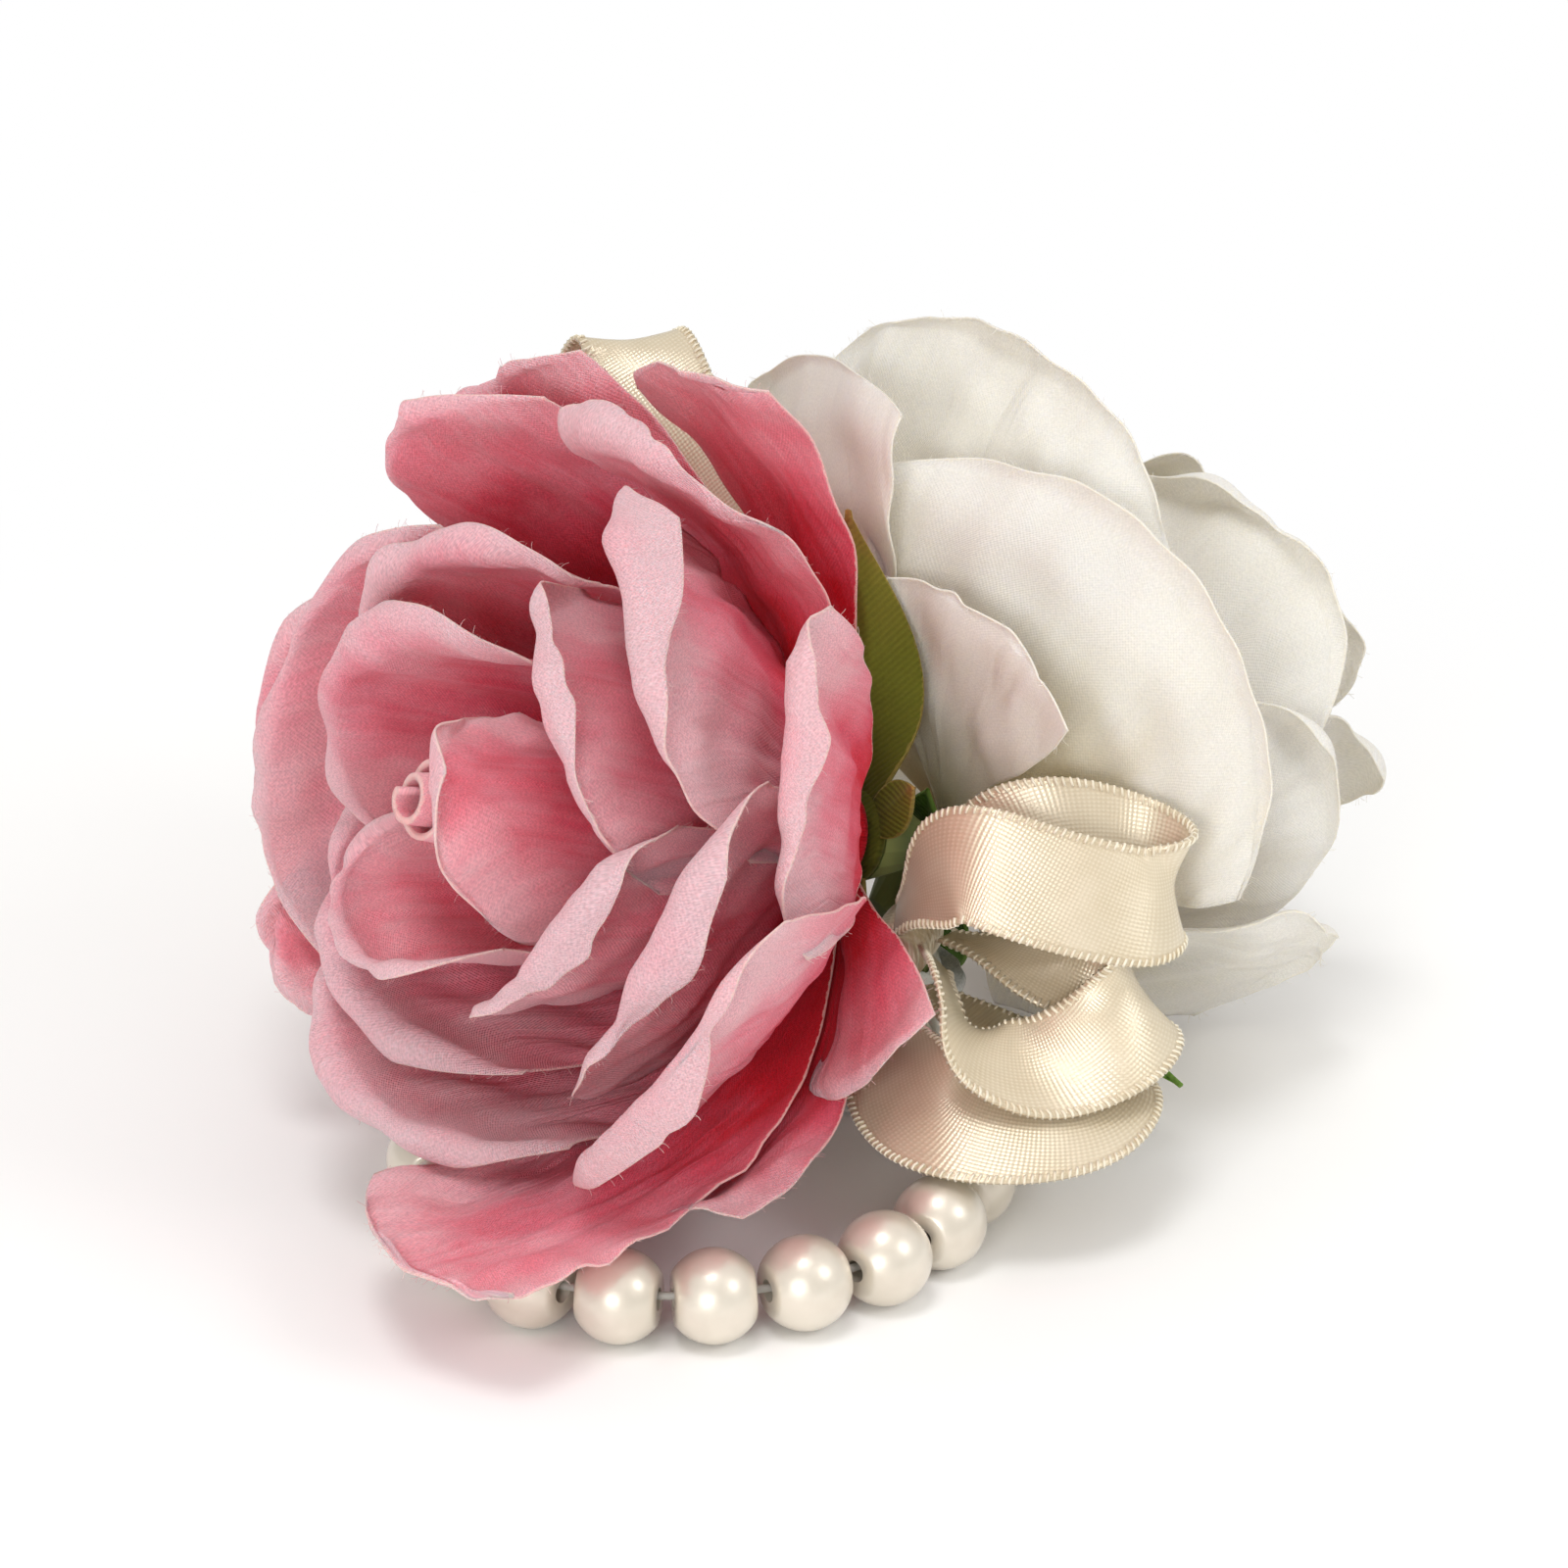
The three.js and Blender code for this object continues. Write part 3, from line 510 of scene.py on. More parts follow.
def edging_tree():
    """Sets a small shape along an edge at an even pitch, turned outwards, some left out and some askew."""
    tree, given = new_tree("edging", EDGING_INPUTS)
    seed, askew = given["Seed"], given["Askew"]
    line = result(tree, "GeometryNodeMeshToCurve", {"Mesh": given["Edge"]})
    even = result(tree, "GeometryNodeResampleCurve", {"Curve": line, "Length": given["Pitch"]}, mode="LENGTH")
    upright = turned_along(tree, "facing", "Z", Rotation=turned_along(tree, "outwards", "X"))
    least = math_node(tree, "MULTIPLY", askew, -1.0)
    tilts = {0: alike(tree, least), 1: alike(tree, askew), "Seed": seed}
    tilt = result(tree, "FunctionNodeRandomValue", tilts, data_type="FLOAT_VECTOR")
    tilt = result(tree, "FunctionNodeEulerToRotation", {0: tilt})
    turn = {"Rotation": upright, "Rotate By": tilt}
    turned = result(tree, "FunctionNodeRotateRotation", turn, rotation_space="LOCAL")
    chance = {"Probability": given["Kept share"], "Seed": seed}
    kept = add_node(tree, "FunctionNodeRandomValue", chance, data_type="BOOLEAN").outputs[3]
    sizes = {2: given["Smallest"], 3: 1.0, "Seed": seed}
    size = add_node(tree, "FunctionNodeRandomValue", sizes, data_type="FLOAT").outputs[1]
    shape = shape_of(tree, given["Shape"])
    repeat = {"Points": even, "Selection": kept, "Instance": shape, "Rotation": turned, "Scale": size}
    return end_tree(tree, result(tree, "GeometryNodeInstanceOnPoints", repeat), given["Paint"])


def edge_mesh(name, chains):
    """A mesh of open lines, each given as points in millimetres, outward directions and facing directions."""
    lengths = [len(points) for points, _, _ in chains]
    starts = np.cumsum([0] + lengths[:-1])
    links = [(a + i, a + i + 1) for a, n in zip(starts, lengths) for i in range(n - 1)]
    points, outwards, facing = (np.concatenate(part) for part in zip(*chains))
    mesh = new_mesh(name, points, links=links)
    carry(mesh, "outwards", outwards)
    carry(mesh, "facing", facing)
    return mesh


EDGING = edging_tree()
print("edging tree:", len(EDGING.nodes), "nodes")

# %% [markdown]
# ## Cloth
# The petals are cut from thin woven cloth, dyed deep at the foot and pale at the rim.
# The colour follows the note that says how far along the petal a point is. The raw cut edge is paler.
# Fine threads, pressed veins and soft ribs are bumps, laid out on the flat cloth. The pressed veins also
# shift the colour a little darker and lighter along them, as painted shade and light on the creases. A little
# light passes through thin cloth, so the shader scatters some of it under the surface.

# %% Make the cloth materials
VEINS_RUN, RIBS_RUN = (56.0, 3.5, 1.0), (26.0, 2.6, 1.0)


def streaks(tree, flat, run, detail, distortion=0.0):
    """Random streaks that run along a petal."""
    stretched = result(tree, "ShaderNodeMapping", {"Vector": flat, "Scale": run})
    return spots(tree, stretched, 1.0, detail, distortion)


def woven_cloth(
    name, stops, raw, glow, thread=0.42, twill=False, weave=0.06, grain=0.05,
    veins=1.0, ribs=0.0, mottling_and_crease_shade=0.07,
):
    """Cloth with a dye that changes along the petal, threads of that pitch in millimetres and a raw edge."""
    material, tree = new_material(name)
    flat = flat_place(tree)
    pitch = 2 * math.pi / (LAYOUT * thread)
    per_thread = result(tree, "ShaderNodeVectorMath", {0: flat, "Scale": pitch}, operation="SCALE")
    warp, weft, _ = add_node(tree, "ShaderNodeSeparateXYZ", {0: per_thread}).outputs
    if twill:
        woven = math_node(tree, "SINE", math_node(tree, "ADD", warp, weft))
    else:
        woven = math_node(tree, "MULTIPLY", math_node(tree, "SINE", warp), math_node(tree, "SINE", weft))
    pressed = streaks(tree, flat, VEINS_RUN, 4.0, 0.5)
    ribbed = streaks(tree, flat, RIBS_RUN, 1.0)
    fibres = spots(tree, flat, 330.0, 3.0)
    # The dye follows the petal and random spots; the pressed veins add painted shade and light along the
    # creases.
    dye_and_crease_shade = total(
        tree,
        note(tree, "along"),
        remap(tree, spots(tree, flat, 9.0, 3.0), 0.3, 0.7, -mottling_and_crease_shade, mottling_and_crease_shade),
        remap(tree, pressed, 0.3, 0.7, -mottling_and_crease_shade / 3, mottling_and_crease_shade / 3),
        note(tree, "tone"),
    )
    shade = remap(tree, woven, -1.0, 1.0, 1 - 1.2 * weave, 1 + 0.5 * weave)
    shade = math_node(tree, "MULTIPLY", shade, remap(tree, fibres, 0.3, 0.7, 1 - grain, 1 + grain))
    colour = mix_colours(tree, 1.0, ramp(tree, dye_and_crease_shade, stops), alike(tree, shade), "MULTIPLY")
    ragged = remap(tree, spots(tree, flat, 120.0), 0.3, 0.7, 0.05, 0.32)
    cut = remap(tree, math_node(tree, "DIVIDE", note(tree, "edge"), ragged), 0.5, 1.1, 0.6, 0.0)
    heights = ((woven, weave), (fibres, 1.5 * weave), (pressed, veins), (ribbed, ribs))
    height = total(tree, *[math_node(tree, "MULTIPLY", value, share) for value, share in heights])
    finish_material(
        tree,
        Base_Color=mix_colours(tree, cut, colour, (*raw, 1)),
        Roughness=0.88,
        Specular_Ior_Level=0.10,
        Sheen_Weight=0.04,
        Sheen_Roughness=0.45,
        Subsurface_Weight=0.4,
        Subsurface_Radius=glow,
        Subsurface_Scale=1.8 * MM,
        Normal=bumps(tree, height, 0.6, 1.2),
    )
    return material


def thread_paint(name, dark, light):
    """Thread colour that changes a little from place to place."""
    material, tree = new_material(name)
    change = remap(tree, spots(tree, own_place(tree), 300.0), 0.35, 0.65)
    colour = mix_colours(tree, change, (*dark, 1), (*light, 1))
    finish_material(tree, Base_Color=colour, Roughness=0.6, Specular_Ior_Level=0.3, Sheen_Weight=0.2)
    return material


print("veins and ribs run along the petals:", VEINS_RUN, RIBS_RUN)

# %% [markdown]
# A dye is a list of colours from the foot of a petal to its rim. The white cloth is finer than the pink,
# and the leaves are of twill.

# %% Dye the cloths
PINK_DYE = [
    (0.0, (0.34, 0.003, 0.008)),
    (0.28, (0.60, 0.018, 0.036)),
    (0.44, (0.69, 0.095, 0.145)),
    (0.60, (0.76, 0.225, 0.28)),
    (0.78, (0.79, 0.40, 0.445)),
    (0.97, (0.74, 0.46, 0.495)),
]
WHITE_DYE = [
    (0.0, (0.50, 0.38, 0.21)),
    (0.22, (0.69, 0.60, 0.45)),
    (0.45, (0.78, 0.725, 0.635)),
    (0.9, (0.80, 0.765, 0.70)),
]
OLIVE_DYE = [
    (0.0, (0.07, 0.07, 0.009)),
    (0.5, (0.145, 0.15, 0.018)),
    (0.8, (0.19, 0.17, 0.025)),
    (1.0, (0.30, 0.14, 0.045)),
]
GREEN_DYE = [
    (0.0, (0.04, 0.085, 0.010)),
    (0.5, (0.06, 0.13, 0.014)),
    (0.8, (0.085, 0.19, 0.022)),
    (1.0, (0.11, 0.24, 0.035)),
]
FINE = {"weave": 0.03, "veins": 0.45, "ribs": 0.9, "mottling_and_crease_shade": 0.05}
TWILL = {"thread": 0.8, "twill": True, "veins": 0.4}
RED_GLOW, WARM_GLOW, GREEN_GLOW = (1.0, 0.12, 0.14), (1.0, 0.8, 0.5), (0.5, 0.6, 0.2)
PINK_CLOTH = woven_cloth("pink_cloth", PINK_DYE, (0.80, 0.56, 0.50), RED_GLOW, grain=0.13)
WHITE_CLOTH = woven_cloth("white_cloth", WHITE_DYE, (0.80, 0.73, 0.60), WARM_GLOW, **FINE)
LEAF_CLOTH = woven_cloth("leaf_cloth", OLIVE_DYE, (0.28, 0.20, 0.06), GREEN_GLOW, **TWILL)
BRIGHT_LEAF_CLOTH = woven_cloth("bright_leaf_cloth", GREEN_DYE, (0.18, 0.28, 0.07), GREEN_GLOW, **TWILL)
PINK_THREAD = thread_paint("pink_thread", (0.62, 0.27, 0.31), (0.84, 0.62, 0.58))
WHITE_THREAD = thread_paint("white_thread", (0.80, 0.74, 0.62), (0.90, 0.87, 0.80))
print("cloths:", PINK_CLOTH.name, WHITE_CLOTH.name, LEAF_CLOTH.name, BRIGHT_LEAF_CLOTH.name)

# %% [markdown]
# ## The petals
# A rose of this kind is a stack of five cloth layers on a pin, each cut as a star and glued at its middle.
# One petal is a bent strip: it leaves the middle at its foot, swings out and up in one curve and spreads
# to a pointed rim, and the rim is bent outwards and hangs over as a flap. The same rule makes every petal,
# and the numbers make each one different. Ripples and creases are added square to the cloth, so the petal
# keeps its form and gains the look of real cloth.

# %% The rule for one petal
CLOTH_T = 0.24
FOOT_R = 3.0
RIM_SHARE = 2 / 3
NARROW = 0.5
WIDEST_AT = 0.6
CORNER_POWER = 2.6
CORNER_ROLL = 0.25
FLAP_TURN = 2.5
CRISP_CURL, LONG_FLAP = 0.6, 1.3
ROLL_WAVE, HEIGHT_WAVE, REACH_WAVE = 0.28, 0.9, 0.6
LEAST_ROLL, MOST_ROLL = 0.3, 1.5
TONE = 0.09
LAID_BELOW = 1.5
PETAL_COLUMNS, PETAL_ROWS, ROWS_TO_RIM = 61, 57, 31
LAYER_PITCH = 2.3
HUB_D, HUB_T = 10.0, 0.9
LAYERS = 5


def petal(turn, half, reach, height, lean=2, drop=5, belly=0.85, rise=0.15, roll=6, curl=3):
    """One petal: where it points, half its spread in degrees, and how far out and up its rim goes."""
    return dict(
        turn=turn, half=half, reach=reach, height=height, lean=lean,
        drop=drop, belly=belly, rise=rise, roll=roll, curl=curl,
    )


def petal_form(hub, p, u, v):
    """The middle of a petal, u across from -1 to 1 and v along from 0 to 1, about the flower's own axis."""
    t = np.minimum(v / RIM_SHARE, 1)
    spread = NARROW + (1 - NARROW) * smooth(t / WIDEST_AT)
    angle = np.radians(p["turn"] + u * p["half"] * spread)
    corner = np.abs(u) ** CORNER_POWER
    reach = p["reach"] + p["lean"] * u
    height = p["height"] - p["drop"] * corner
    mid_r = FOOT_R + p["belly"] * (reach - FOOT_R)
    mid_z = hub + p["rise"] * (height - hub)
    r = (1 - t) ** 2 * FOOT_R + 2 * t * (1 - t) * mid_r + t**2 * reach
    z = (1 - t) ** 2 * hub + 2 * t * (1 - t) * mid_z + t**2 * height
    rolled = p["roll"] * (1 - (1 - CORNER_ROLL) * corner) * np.maximum(v - RIM_SHARE, 0) / (1 - RIM_SHARE)
    bent = np.minimum(rolled, p["curl"] * FLAP_TURN)
    flap = rolled - bent
    first = np.arctan2(reach - mid_r, height - mid_z)
    turned = first + bent / p["curl"]
    r = r + p["curl"] * (np.cos(first) - np.cos(turned)) + flap * np.sin(turned)
    z = z + p["curl"] * (np.sin(turned) - np.sin(first)) + flap * np.cos(turned)
    return np.stack([r * np.cos(angle), r * np.sin(angle), z], -1)


print("a petal has", PETAL_ROWS, "rows of", PETAL_COLUMNS, "points")

# %% [markdown]
# No two petals are cut alike, and cloth never lies smooth. Random numbers with a fixed seed take a slant
# and some notches off the rim, and raise ripples, pinches, folds, veins and dents.

# %% Cut and crumple a petal
NOTCHES, NOTCH_DEPTH = 4, 0.035
RIPPLE = 0.9
MOST_CUT = 0.4
PINCHES, PINCH_RISE = 2, 0.8
FOLDS, FOLD_RISE, FOLD_SLANT = 2, 1.7, 0.15
VEINS, VEIN_RISE, VEIN_SLANT = 9, 0.34, 0.12
DENTS, DENT_RISE = 5, 0.17


def wave(u, random, size):
    """A soft random wave across a petal, about that high."""
    rise = np.zeros_like(u)
    for k in range(1, 4):
        rise += random.uniform(-1, 1) * np.sin(1.9 * k * u + random.uniform(0, 2 * np.pi)) / k**1.5
    return size * rise


def hill(u, middle, wide):
    """A round hill of height 1 across a petal."""
    return np.exp(-(((u - middle) / wide) ** 2))


def missing_rim(u, random):
    """The share of a petal that its uneven cut takes off: a slant to both sides of its tip, and notches."""
    tip = random.uniform(-0.45, 0.45)
    missing = random.uniform(0.14, 0.34) * np.abs(u - tip)
    for _ in range(NOTCHES):
        middle, wide = random.uniform(-0.95, 0.95), random.uniform(0.04, 0.12)
        missing += random.uniform(0.0, NOTCH_DEPTH) * hill(u, middle, wide)
    return MOST_CUT * np.tanh(missing / MOST_CUT)


def crumple(u, v, across_mm, along_mm, random):
    """How far the cloth stands off its smooth form, in millimetres."""
    off = smooth((v - 0.3) / 0.6) * wave(u, random, RIPPLE)
    for _ in range(PINCHES):
        middle, wide = random.uniform(-0.85, 0.85), random.uniform(0.06, 0.12)
        off += random.uniform(-PINCH_RISE, PINCH_RISE) * smooth((v - 0.55) / 0.4) * hill(u, middle, wide)
    for _ in range(FOLDS):
        middle, wide, start = random.uniform(-0.8, 0.8), random.uniform(0.2, 0.4), random.uniform(0.1, 0.5)
        fold = np.maximum(0, 1 - np.abs(u - middle - FOLD_SLANT * (v - 0.5)) / wide)
        off += random.uniform(-FOLD_RISE, FOLD_RISE) * smooth((v - start) / 0.35) * fold
    for _ in range(VEINS):
        middle, sharp = random.uniform(-0.95, 0.95), random.uniform(0.035, 0.08)
        start, stop = random.uniform(0.05, 0.45), random.uniform(0.6, 1.05)
        fade = smooth((v - start) / 0.2) * smooth((stop - v) / 0.2)
        off += random.uniform(-VEIN_RISE, VEIN_RISE) * fade * hill(u - VEIN_SLANT * v, middle, sharp)
    for _ in range(DENTS):
        way, length = random.uniform(0, 2 * np.pi), random.uniform(8, 17)
        run = across_mm * math.cos(way) + along_mm * math.sin(way)
        dent = np.sin(2 * np.pi * run / length + random.uniform(0, 2 * np.pi))
        off += DENT_RISE * smooth((v - 0.1) / 0.3) * dent
    return off


print("creases in a petal:", PINCHES + FOLDS + VEINS)

# %% [markdown]
# Now the rule, the cut and the creases come together. A finished petal is set in the frame, and what would
# dip into the table is laid on it.

# %% Put a petal together


def run_along(form, axis):
    """How far each point of a grid lies along its row or column, in millimetres."""
    steps = np.linalg.norm(np.diff(form, axis=axis), axis=-1)
    return np.pad(np.cumsum(steps, axis), [(1, 0), (0, 0)] if axis == 0 else [(0, 0), (1, 0)])


def petal_cloth(hub, p, random):
    """A petal's grid with an uneven rim and crumpled cloth, and the notes of its cloth."""
    to_rim = np.linspace(0, RIM_SHARE, ROWS_TO_RIM)
    beyond = np.linspace(RIM_SHARE, 1, PETAL_ROWS - ROWS_TO_RIM + 1)[1:]
    u, v = np.meshgrid(np.linspace(-1, 1, PETAL_COLUMNS), np.concatenate([to_rim, beyond]))
    uneven = dict(p)
    uneven["curl"] = p["curl"] * CRISP_CURL
    uneven["roll"] = p["roll"] * LONG_FLAP * np.clip(1 + wave(u, random, ROLL_WAVE), LEAST_ROLL, MOST_ROLL)
    uneven["height"] = p["height"] + wave(u, random, HEIGHT_WAVE)
    uneven["reach"] = p["reach"] + wave(u, random, REACH_WAVE)
    form = petal_form(hub, uneven, u, v * (1 - missing_rim(u, random)))
    along_mm, across_mm = run_along(form, 0), run_along(form, 1)
    width = across_mm[:, -1:]
    edge = np.minimum(np.minimum(across_mm, width - across_mm), along_mm[-1:] - along_mm)
    form = form + grid_normals(form) * crumple(u, v, across_mm, along_mm, random)[..., None]
    notes = {"along": v, "edge": edge, "tone": np.full_like(u, random.uniform(-TONE, TONE))}
    layout = np.stack([across_mm - width / 2, along_mm], -1) * LAYOUT
    return form, notes, layout


def stand(points, rose):
    """Points about a flower's own axis, set in the frame; what would dip into the table is laid on it."""
    z = Vector(rose["axis"]).normalized()
    x = (Vector((0, 0, 1)) - z * z.z).normalized()
    turn = np.array(Matrix((x, z.cross(x), z)).transposed())
    placed = points @ turn.T + np.array(rose["base"])
    height = placed[..., 2]
    laid = LAID_BELOW * np.exp(np.minimum(height / LAID_BELOW - 1, 0))
    placed[..., 2] = np.where(height < LAID_BELOW, laid, height)
    return placed


def stand_sheet(sheet, rose):
    """A closed sheet with its points set in the frame."""
    points, *rest = sheet
    return stand(points, rose), *rest


print("points lower than", LAID_BELOW, "mm are laid on the table")

# %% [markdown]
# ## The two roses in numbers
# Every row is one petal: its direction round the flower, its spread, its reach and its height. They were read
# from the picture where a petal is seen. The first layer wraps the bud, and the fifth lies outermost.
# A sepal's row gives its direction, length, lift and width, and for the tall leaf also its twist.

# %% The roses' petals
PINK_ROSE = {
    "base": MOUNT + (-2.8, -9.7, 21.1),
    "axis": (-0.838, -0.461, 0.29),
    "bud_top": 57,
    "cloth": PINK_CLOTH,
    "slot": "pink_cloth",
    "thread": PINK_THREAD,
    "leaf": LEAF_CLOTH,
    "seed": 7,
    "layers": [
        [
            petal(-66, 64, 13, 58, drop=12, roll=3, lean=-3),
            petal(60, 60, 18, 55, drop=10, roll=9, curl=4),
            petal(172, 58, 15, 57, drop=10, roll=6),
        ],
        [
            petal(-44, 48, 22, 52, drop=14, belly=0.8, rise=0.16),
            petal(52, 50, 26, 50, drop=12, roll=5),
            petal(146, 50, 25, 50, drop=12),
            petal(-122, 50, 22, 51, drop=14, belly=0.8, rise=0.16),
        ],
        [
            petal(-34, 44, 31, 46, drop=14, belly=0.7, rise=0.2, roll=9),
            petal(10, 26, 38, 38, drop=12, belly=0.76, rise=0.18, roll=4),
            petal(49, 16, 44, 46, drop=10, belly=0.76, rise=0.18, roll=4, lean=-1),
            petal(94, 44, 36, 52, drop=9),
            petal(166, 42, 32, 50, drop=14),
            petal(-110, 46, 31, 44, drop=12, belly=0.7, rise=0.2, roll=7),
        ],
        [
            petal(-64, 29, 36, 34, drop=8, belly=0.66, rise=0.24),
            petal(47, 13, 49, 36, drop=5, belly=0.74, rise=0.16, roll=4, lean=-2),
            petal(99, 31, 45, 46, drop=14, belly=0.78, rise=0.18),
            petal(130, 20, 40, 48, drop=14, belly=0.8, rise=0.1, roll=3),
            petal(-118, 34, 38, 42, drop=8, belly=0.74, rise=0.22, lean=1),
        ],
        [
            petal(13, 16, 47, 31, drop=4, belly=0.7, rise=0.14, roll=1, lean=-1),
            petal(88, 34, 48, 28, drop=12, belly=0.74, rise=0.08, roll=4),
            petal(-154, 17, 46, 56, drop=4, belly=0.72, rise=0.06, roll=1, lean=7),
            petal(-128, 22, 29, 10, drop=4, belly=0.6, roll=2),
            petal(-146, 12, 41, 30, drop=6, belly=0.78, rise=0.02, roll=2, lean=4),
        ],
    ],
    "sepals": [(8, 36, 15, 11, 50), (-162, 36, 12, 8.5), (36, 22, 4, 8.5), (78, 16, 0, 8.5), (-46, 13, 6, 6)],
}
WHITE_ROSE = {
    "base": MOUNT + (6.6, 5.3, 10.7),
    "axis": (0.735, 0.551, 0.399),
    "bud_top": 48,
    "cloth": WHITE_CLOTH,
    "slot": "white_cloth",
    "thread": WHITE_THREAD,
    "leaf": BRIGHT_LEAF_CLOTH,
    "seed": 19,
    "layers": [
        [
            petal(90, 62, 14, 50, drop=12, roll=3),
            petal(-30, 60, 16, 50, drop=12, roll=4),
            petal(210, 60, 15, 49, drop=12, roll=3),
        ],
        [
            petal(40, 50, 24, 45, drop=12, roll=4),
            petal(130, 48, 21, 43, drop=12, roll=4),
            petal(-50, 50, 28, 45, drop=12, roll=3),
            petal(220, 50, 22, 43, drop=12, roll=3),
        ],
        [
            petal(-7, 44, 45, 35, drop=8, roll=4, lean=-6),
            petal(98, 42, 28, 33, drop=12, roll=4),
            petal(195, 44, 26, 34, drop=12, roll=3),
            petal(-90, 32, 33, 35, drop=12, roll=4),
        ],
        [
            petal(42, 47, 41, 24, drop=11, belly=0.9, roll=3, lean=-5),
            petal(130, 28, 34, 26, drop=10, belly=0.8, roll=3, lean=0),
            petal(-34, 38, 52, 20, drop=5, roll=3),
            petal(214, 34, 33, 26, drop=8, belly=0.8, roll=2, lean=3),
            petal(-98, 28, 44, 26, drop=11, belly=0.8, roll=3),
        ],
        [
            petal(22, 24, 40, 8, drop=4, belly=0.7, roll=2),
            petal(162, 30, 26, 6, drop=3, belly=0.7, roll=1),
            petal(-84, 32, 36, 7, drop=4, belly=0.7, roll=2),
        ],
    ],
    "sepals": [(118, 38, 0, 8.5), (20, 14, 0, 6), (86, 12, 0, 5), (196, 20, 0, 8.5), (-92, 30, 0, 8.5)],
}
ROSES = {"pink_rose": PINK_ROSE, "white_rose": WHITE_ROSE}
print("petals:", {name: sum(map(len, rose["layers"])) for name, rose in ROSES.items()})

# %% [markdown]
# ### Layers of petals with frayed edges
# Each layer is one piece. The raw cut edge of woven cloth always loses a few threads, so a tree of Geometry
# Nodes walks along every rim and sets short bent hairs there, most of them left out and all a little askew.

# %% Tools for layers
PIN_D, PIN_ROOM = 2.4, 0.1
HUB_SIDES = 32
FAR_FROM_EDGE = 9.0
FRAY_PATH = [(-0.25, 0, 0), (0.25, 0.03, 0), (0.65, 0.14, 0.06), (1.0, 0.36, 0.1)]
FRAY_R, FRAY_SIDES = 0.03, 3
FRAYS = {"Pitch": 0.4 * MM, "Kept share": 0.34, "Askew": 0.8, "Smallest": 0.2}


def join_sheets(sheets):
    """One set of points, faces, notes and layout from several."""
    points, faces, notes, layouts = zip(*sheets)
    starts = np.cumsum([0] + [len(part) for part in points[:-1]])
    faces = np.concatenate([part + start for part, start in zip(faces, starts)])
    notes = {label: np.concatenate([part[label] for part in notes]) for label in notes[0]}
    return np.concatenate(points), faces, notes, np.concatenate(layouts)


def closed_cloth(form, notes, layout, thickness=CLOTH_T):
    """A closed sheet from a grid, with the notes given to both of its faces."""
    points, faces = thick_sheet(form, thickness)
    both = {name: np.tile(values.ravel(), 2) for name, values in notes.items()}
    return points, faces, both, np.tile(layout.reshape(-1, 2), (2, 1))


def hub_disc(hub):
    """The glued middle of a layer: a small ring on the pin."""
    low, high = hub - HUB_T / 2, hub + HUB_T / 2
    inner, outer = PIN_D / 2 + PIN_ROOM, HUB_D / 2
    points, faces = lathe([(inner, low), (outer, low), (outer, high), (inner, high)], HUB_SIDES)
    none = np.zeros(len(points))
    notes = {"along": none, "edge": none + FAR_FROM_EDGE, "tone": none}
    return points, faces, notes, points[:, :2] * LAYOUT


def rim_chain(form):
    """The cut edge round the upper half of a petal's grid: its points, and which way they point and face."""
    rows, columns = form.shape[:2]
    upper = range(rows // 2, rows)
    ring = [(r, 0) for r in upper] + [(rows - 1, c) for c in range(1, columns - 1)]
    ring += [(r, columns - 1) for r in reversed(upper)]
    r, c = np.array(ring).T
    inside = form[np.minimum(r, rows - 2), np.clip(c, 1, columns - 2)]
    return form[r, c], unit(form[r, c] - inside), grid_normals(form)[r, c]


print("the middle of a layer is", HUB_D, "mm across")

# %% [markdown]
# Each rose gets its five layers, from the heart outwards, and then the frays of all its rims.

# %% Build the petal layers


def build_layers(name, rose):
    """The five petal layers of a rose, each a piece of its own, and the frays along their rims."""
    random = np.random.default_rng(rose["seed"])
    rims = []
    for number, petals in enumerate(rose["layers"], 1):
        hub = LAYER_PITCH * (LAYERS + 1 - number)
        grids = [petal_cloth(hub, p, random) for p in petals]
        grids = [(stand(form, rose), notes, layout) for form, notes, layout in grids]
        rims += [rim_chain(form) for form, _, _ in grids]
        sheets = [closed_cloth(*grid) for grid in grids] + [stand_sheet(hub_disc(hub), rose)]
        node = f"{name}_petals_{number}"
        layer = make_piece(f"{node}_cloth", join_sheets(sheets), rose["cloth"], [node])
    values = {**FRAYS, "Seed": rose["seed"], "Shape": fray_shape, "Paint": rose["thread"]}
    frays = apply_tree(f"{name}_frays", edge_mesh(f"{name}_rims", rims), EDGING, values)
    print(frays.name, len(frays.data.polygons), "faces")


fray_shape = repeated_shape("one_fray", *tube(FRAY_PATH, FRAY_R, FRAY_SIDES))
for name, rose in ROSES.items():
    build_layers(name, rose)
bpy.data.objects.remove(fray_shape)

# %% [markdown]
# ## The buds
# In the heart of a rose a strip of the same cloth is rolled up tightly. From the front it makes a spiral.

# %% Roll the buds
BUD_D, BUD_T = 15.0, 0.7
BUD_TURNS = 2.3
BUD_STRIP = 0.9
BUD_STEPS, BUD_ROWS = 140, 24
BUD_PROFILE = [(0, 0.5), (0.4, 1), (0.75, 0.92), (1, 0.62)]
ROUNDED_ROWS = 5
CROWN_DROP = 0.1


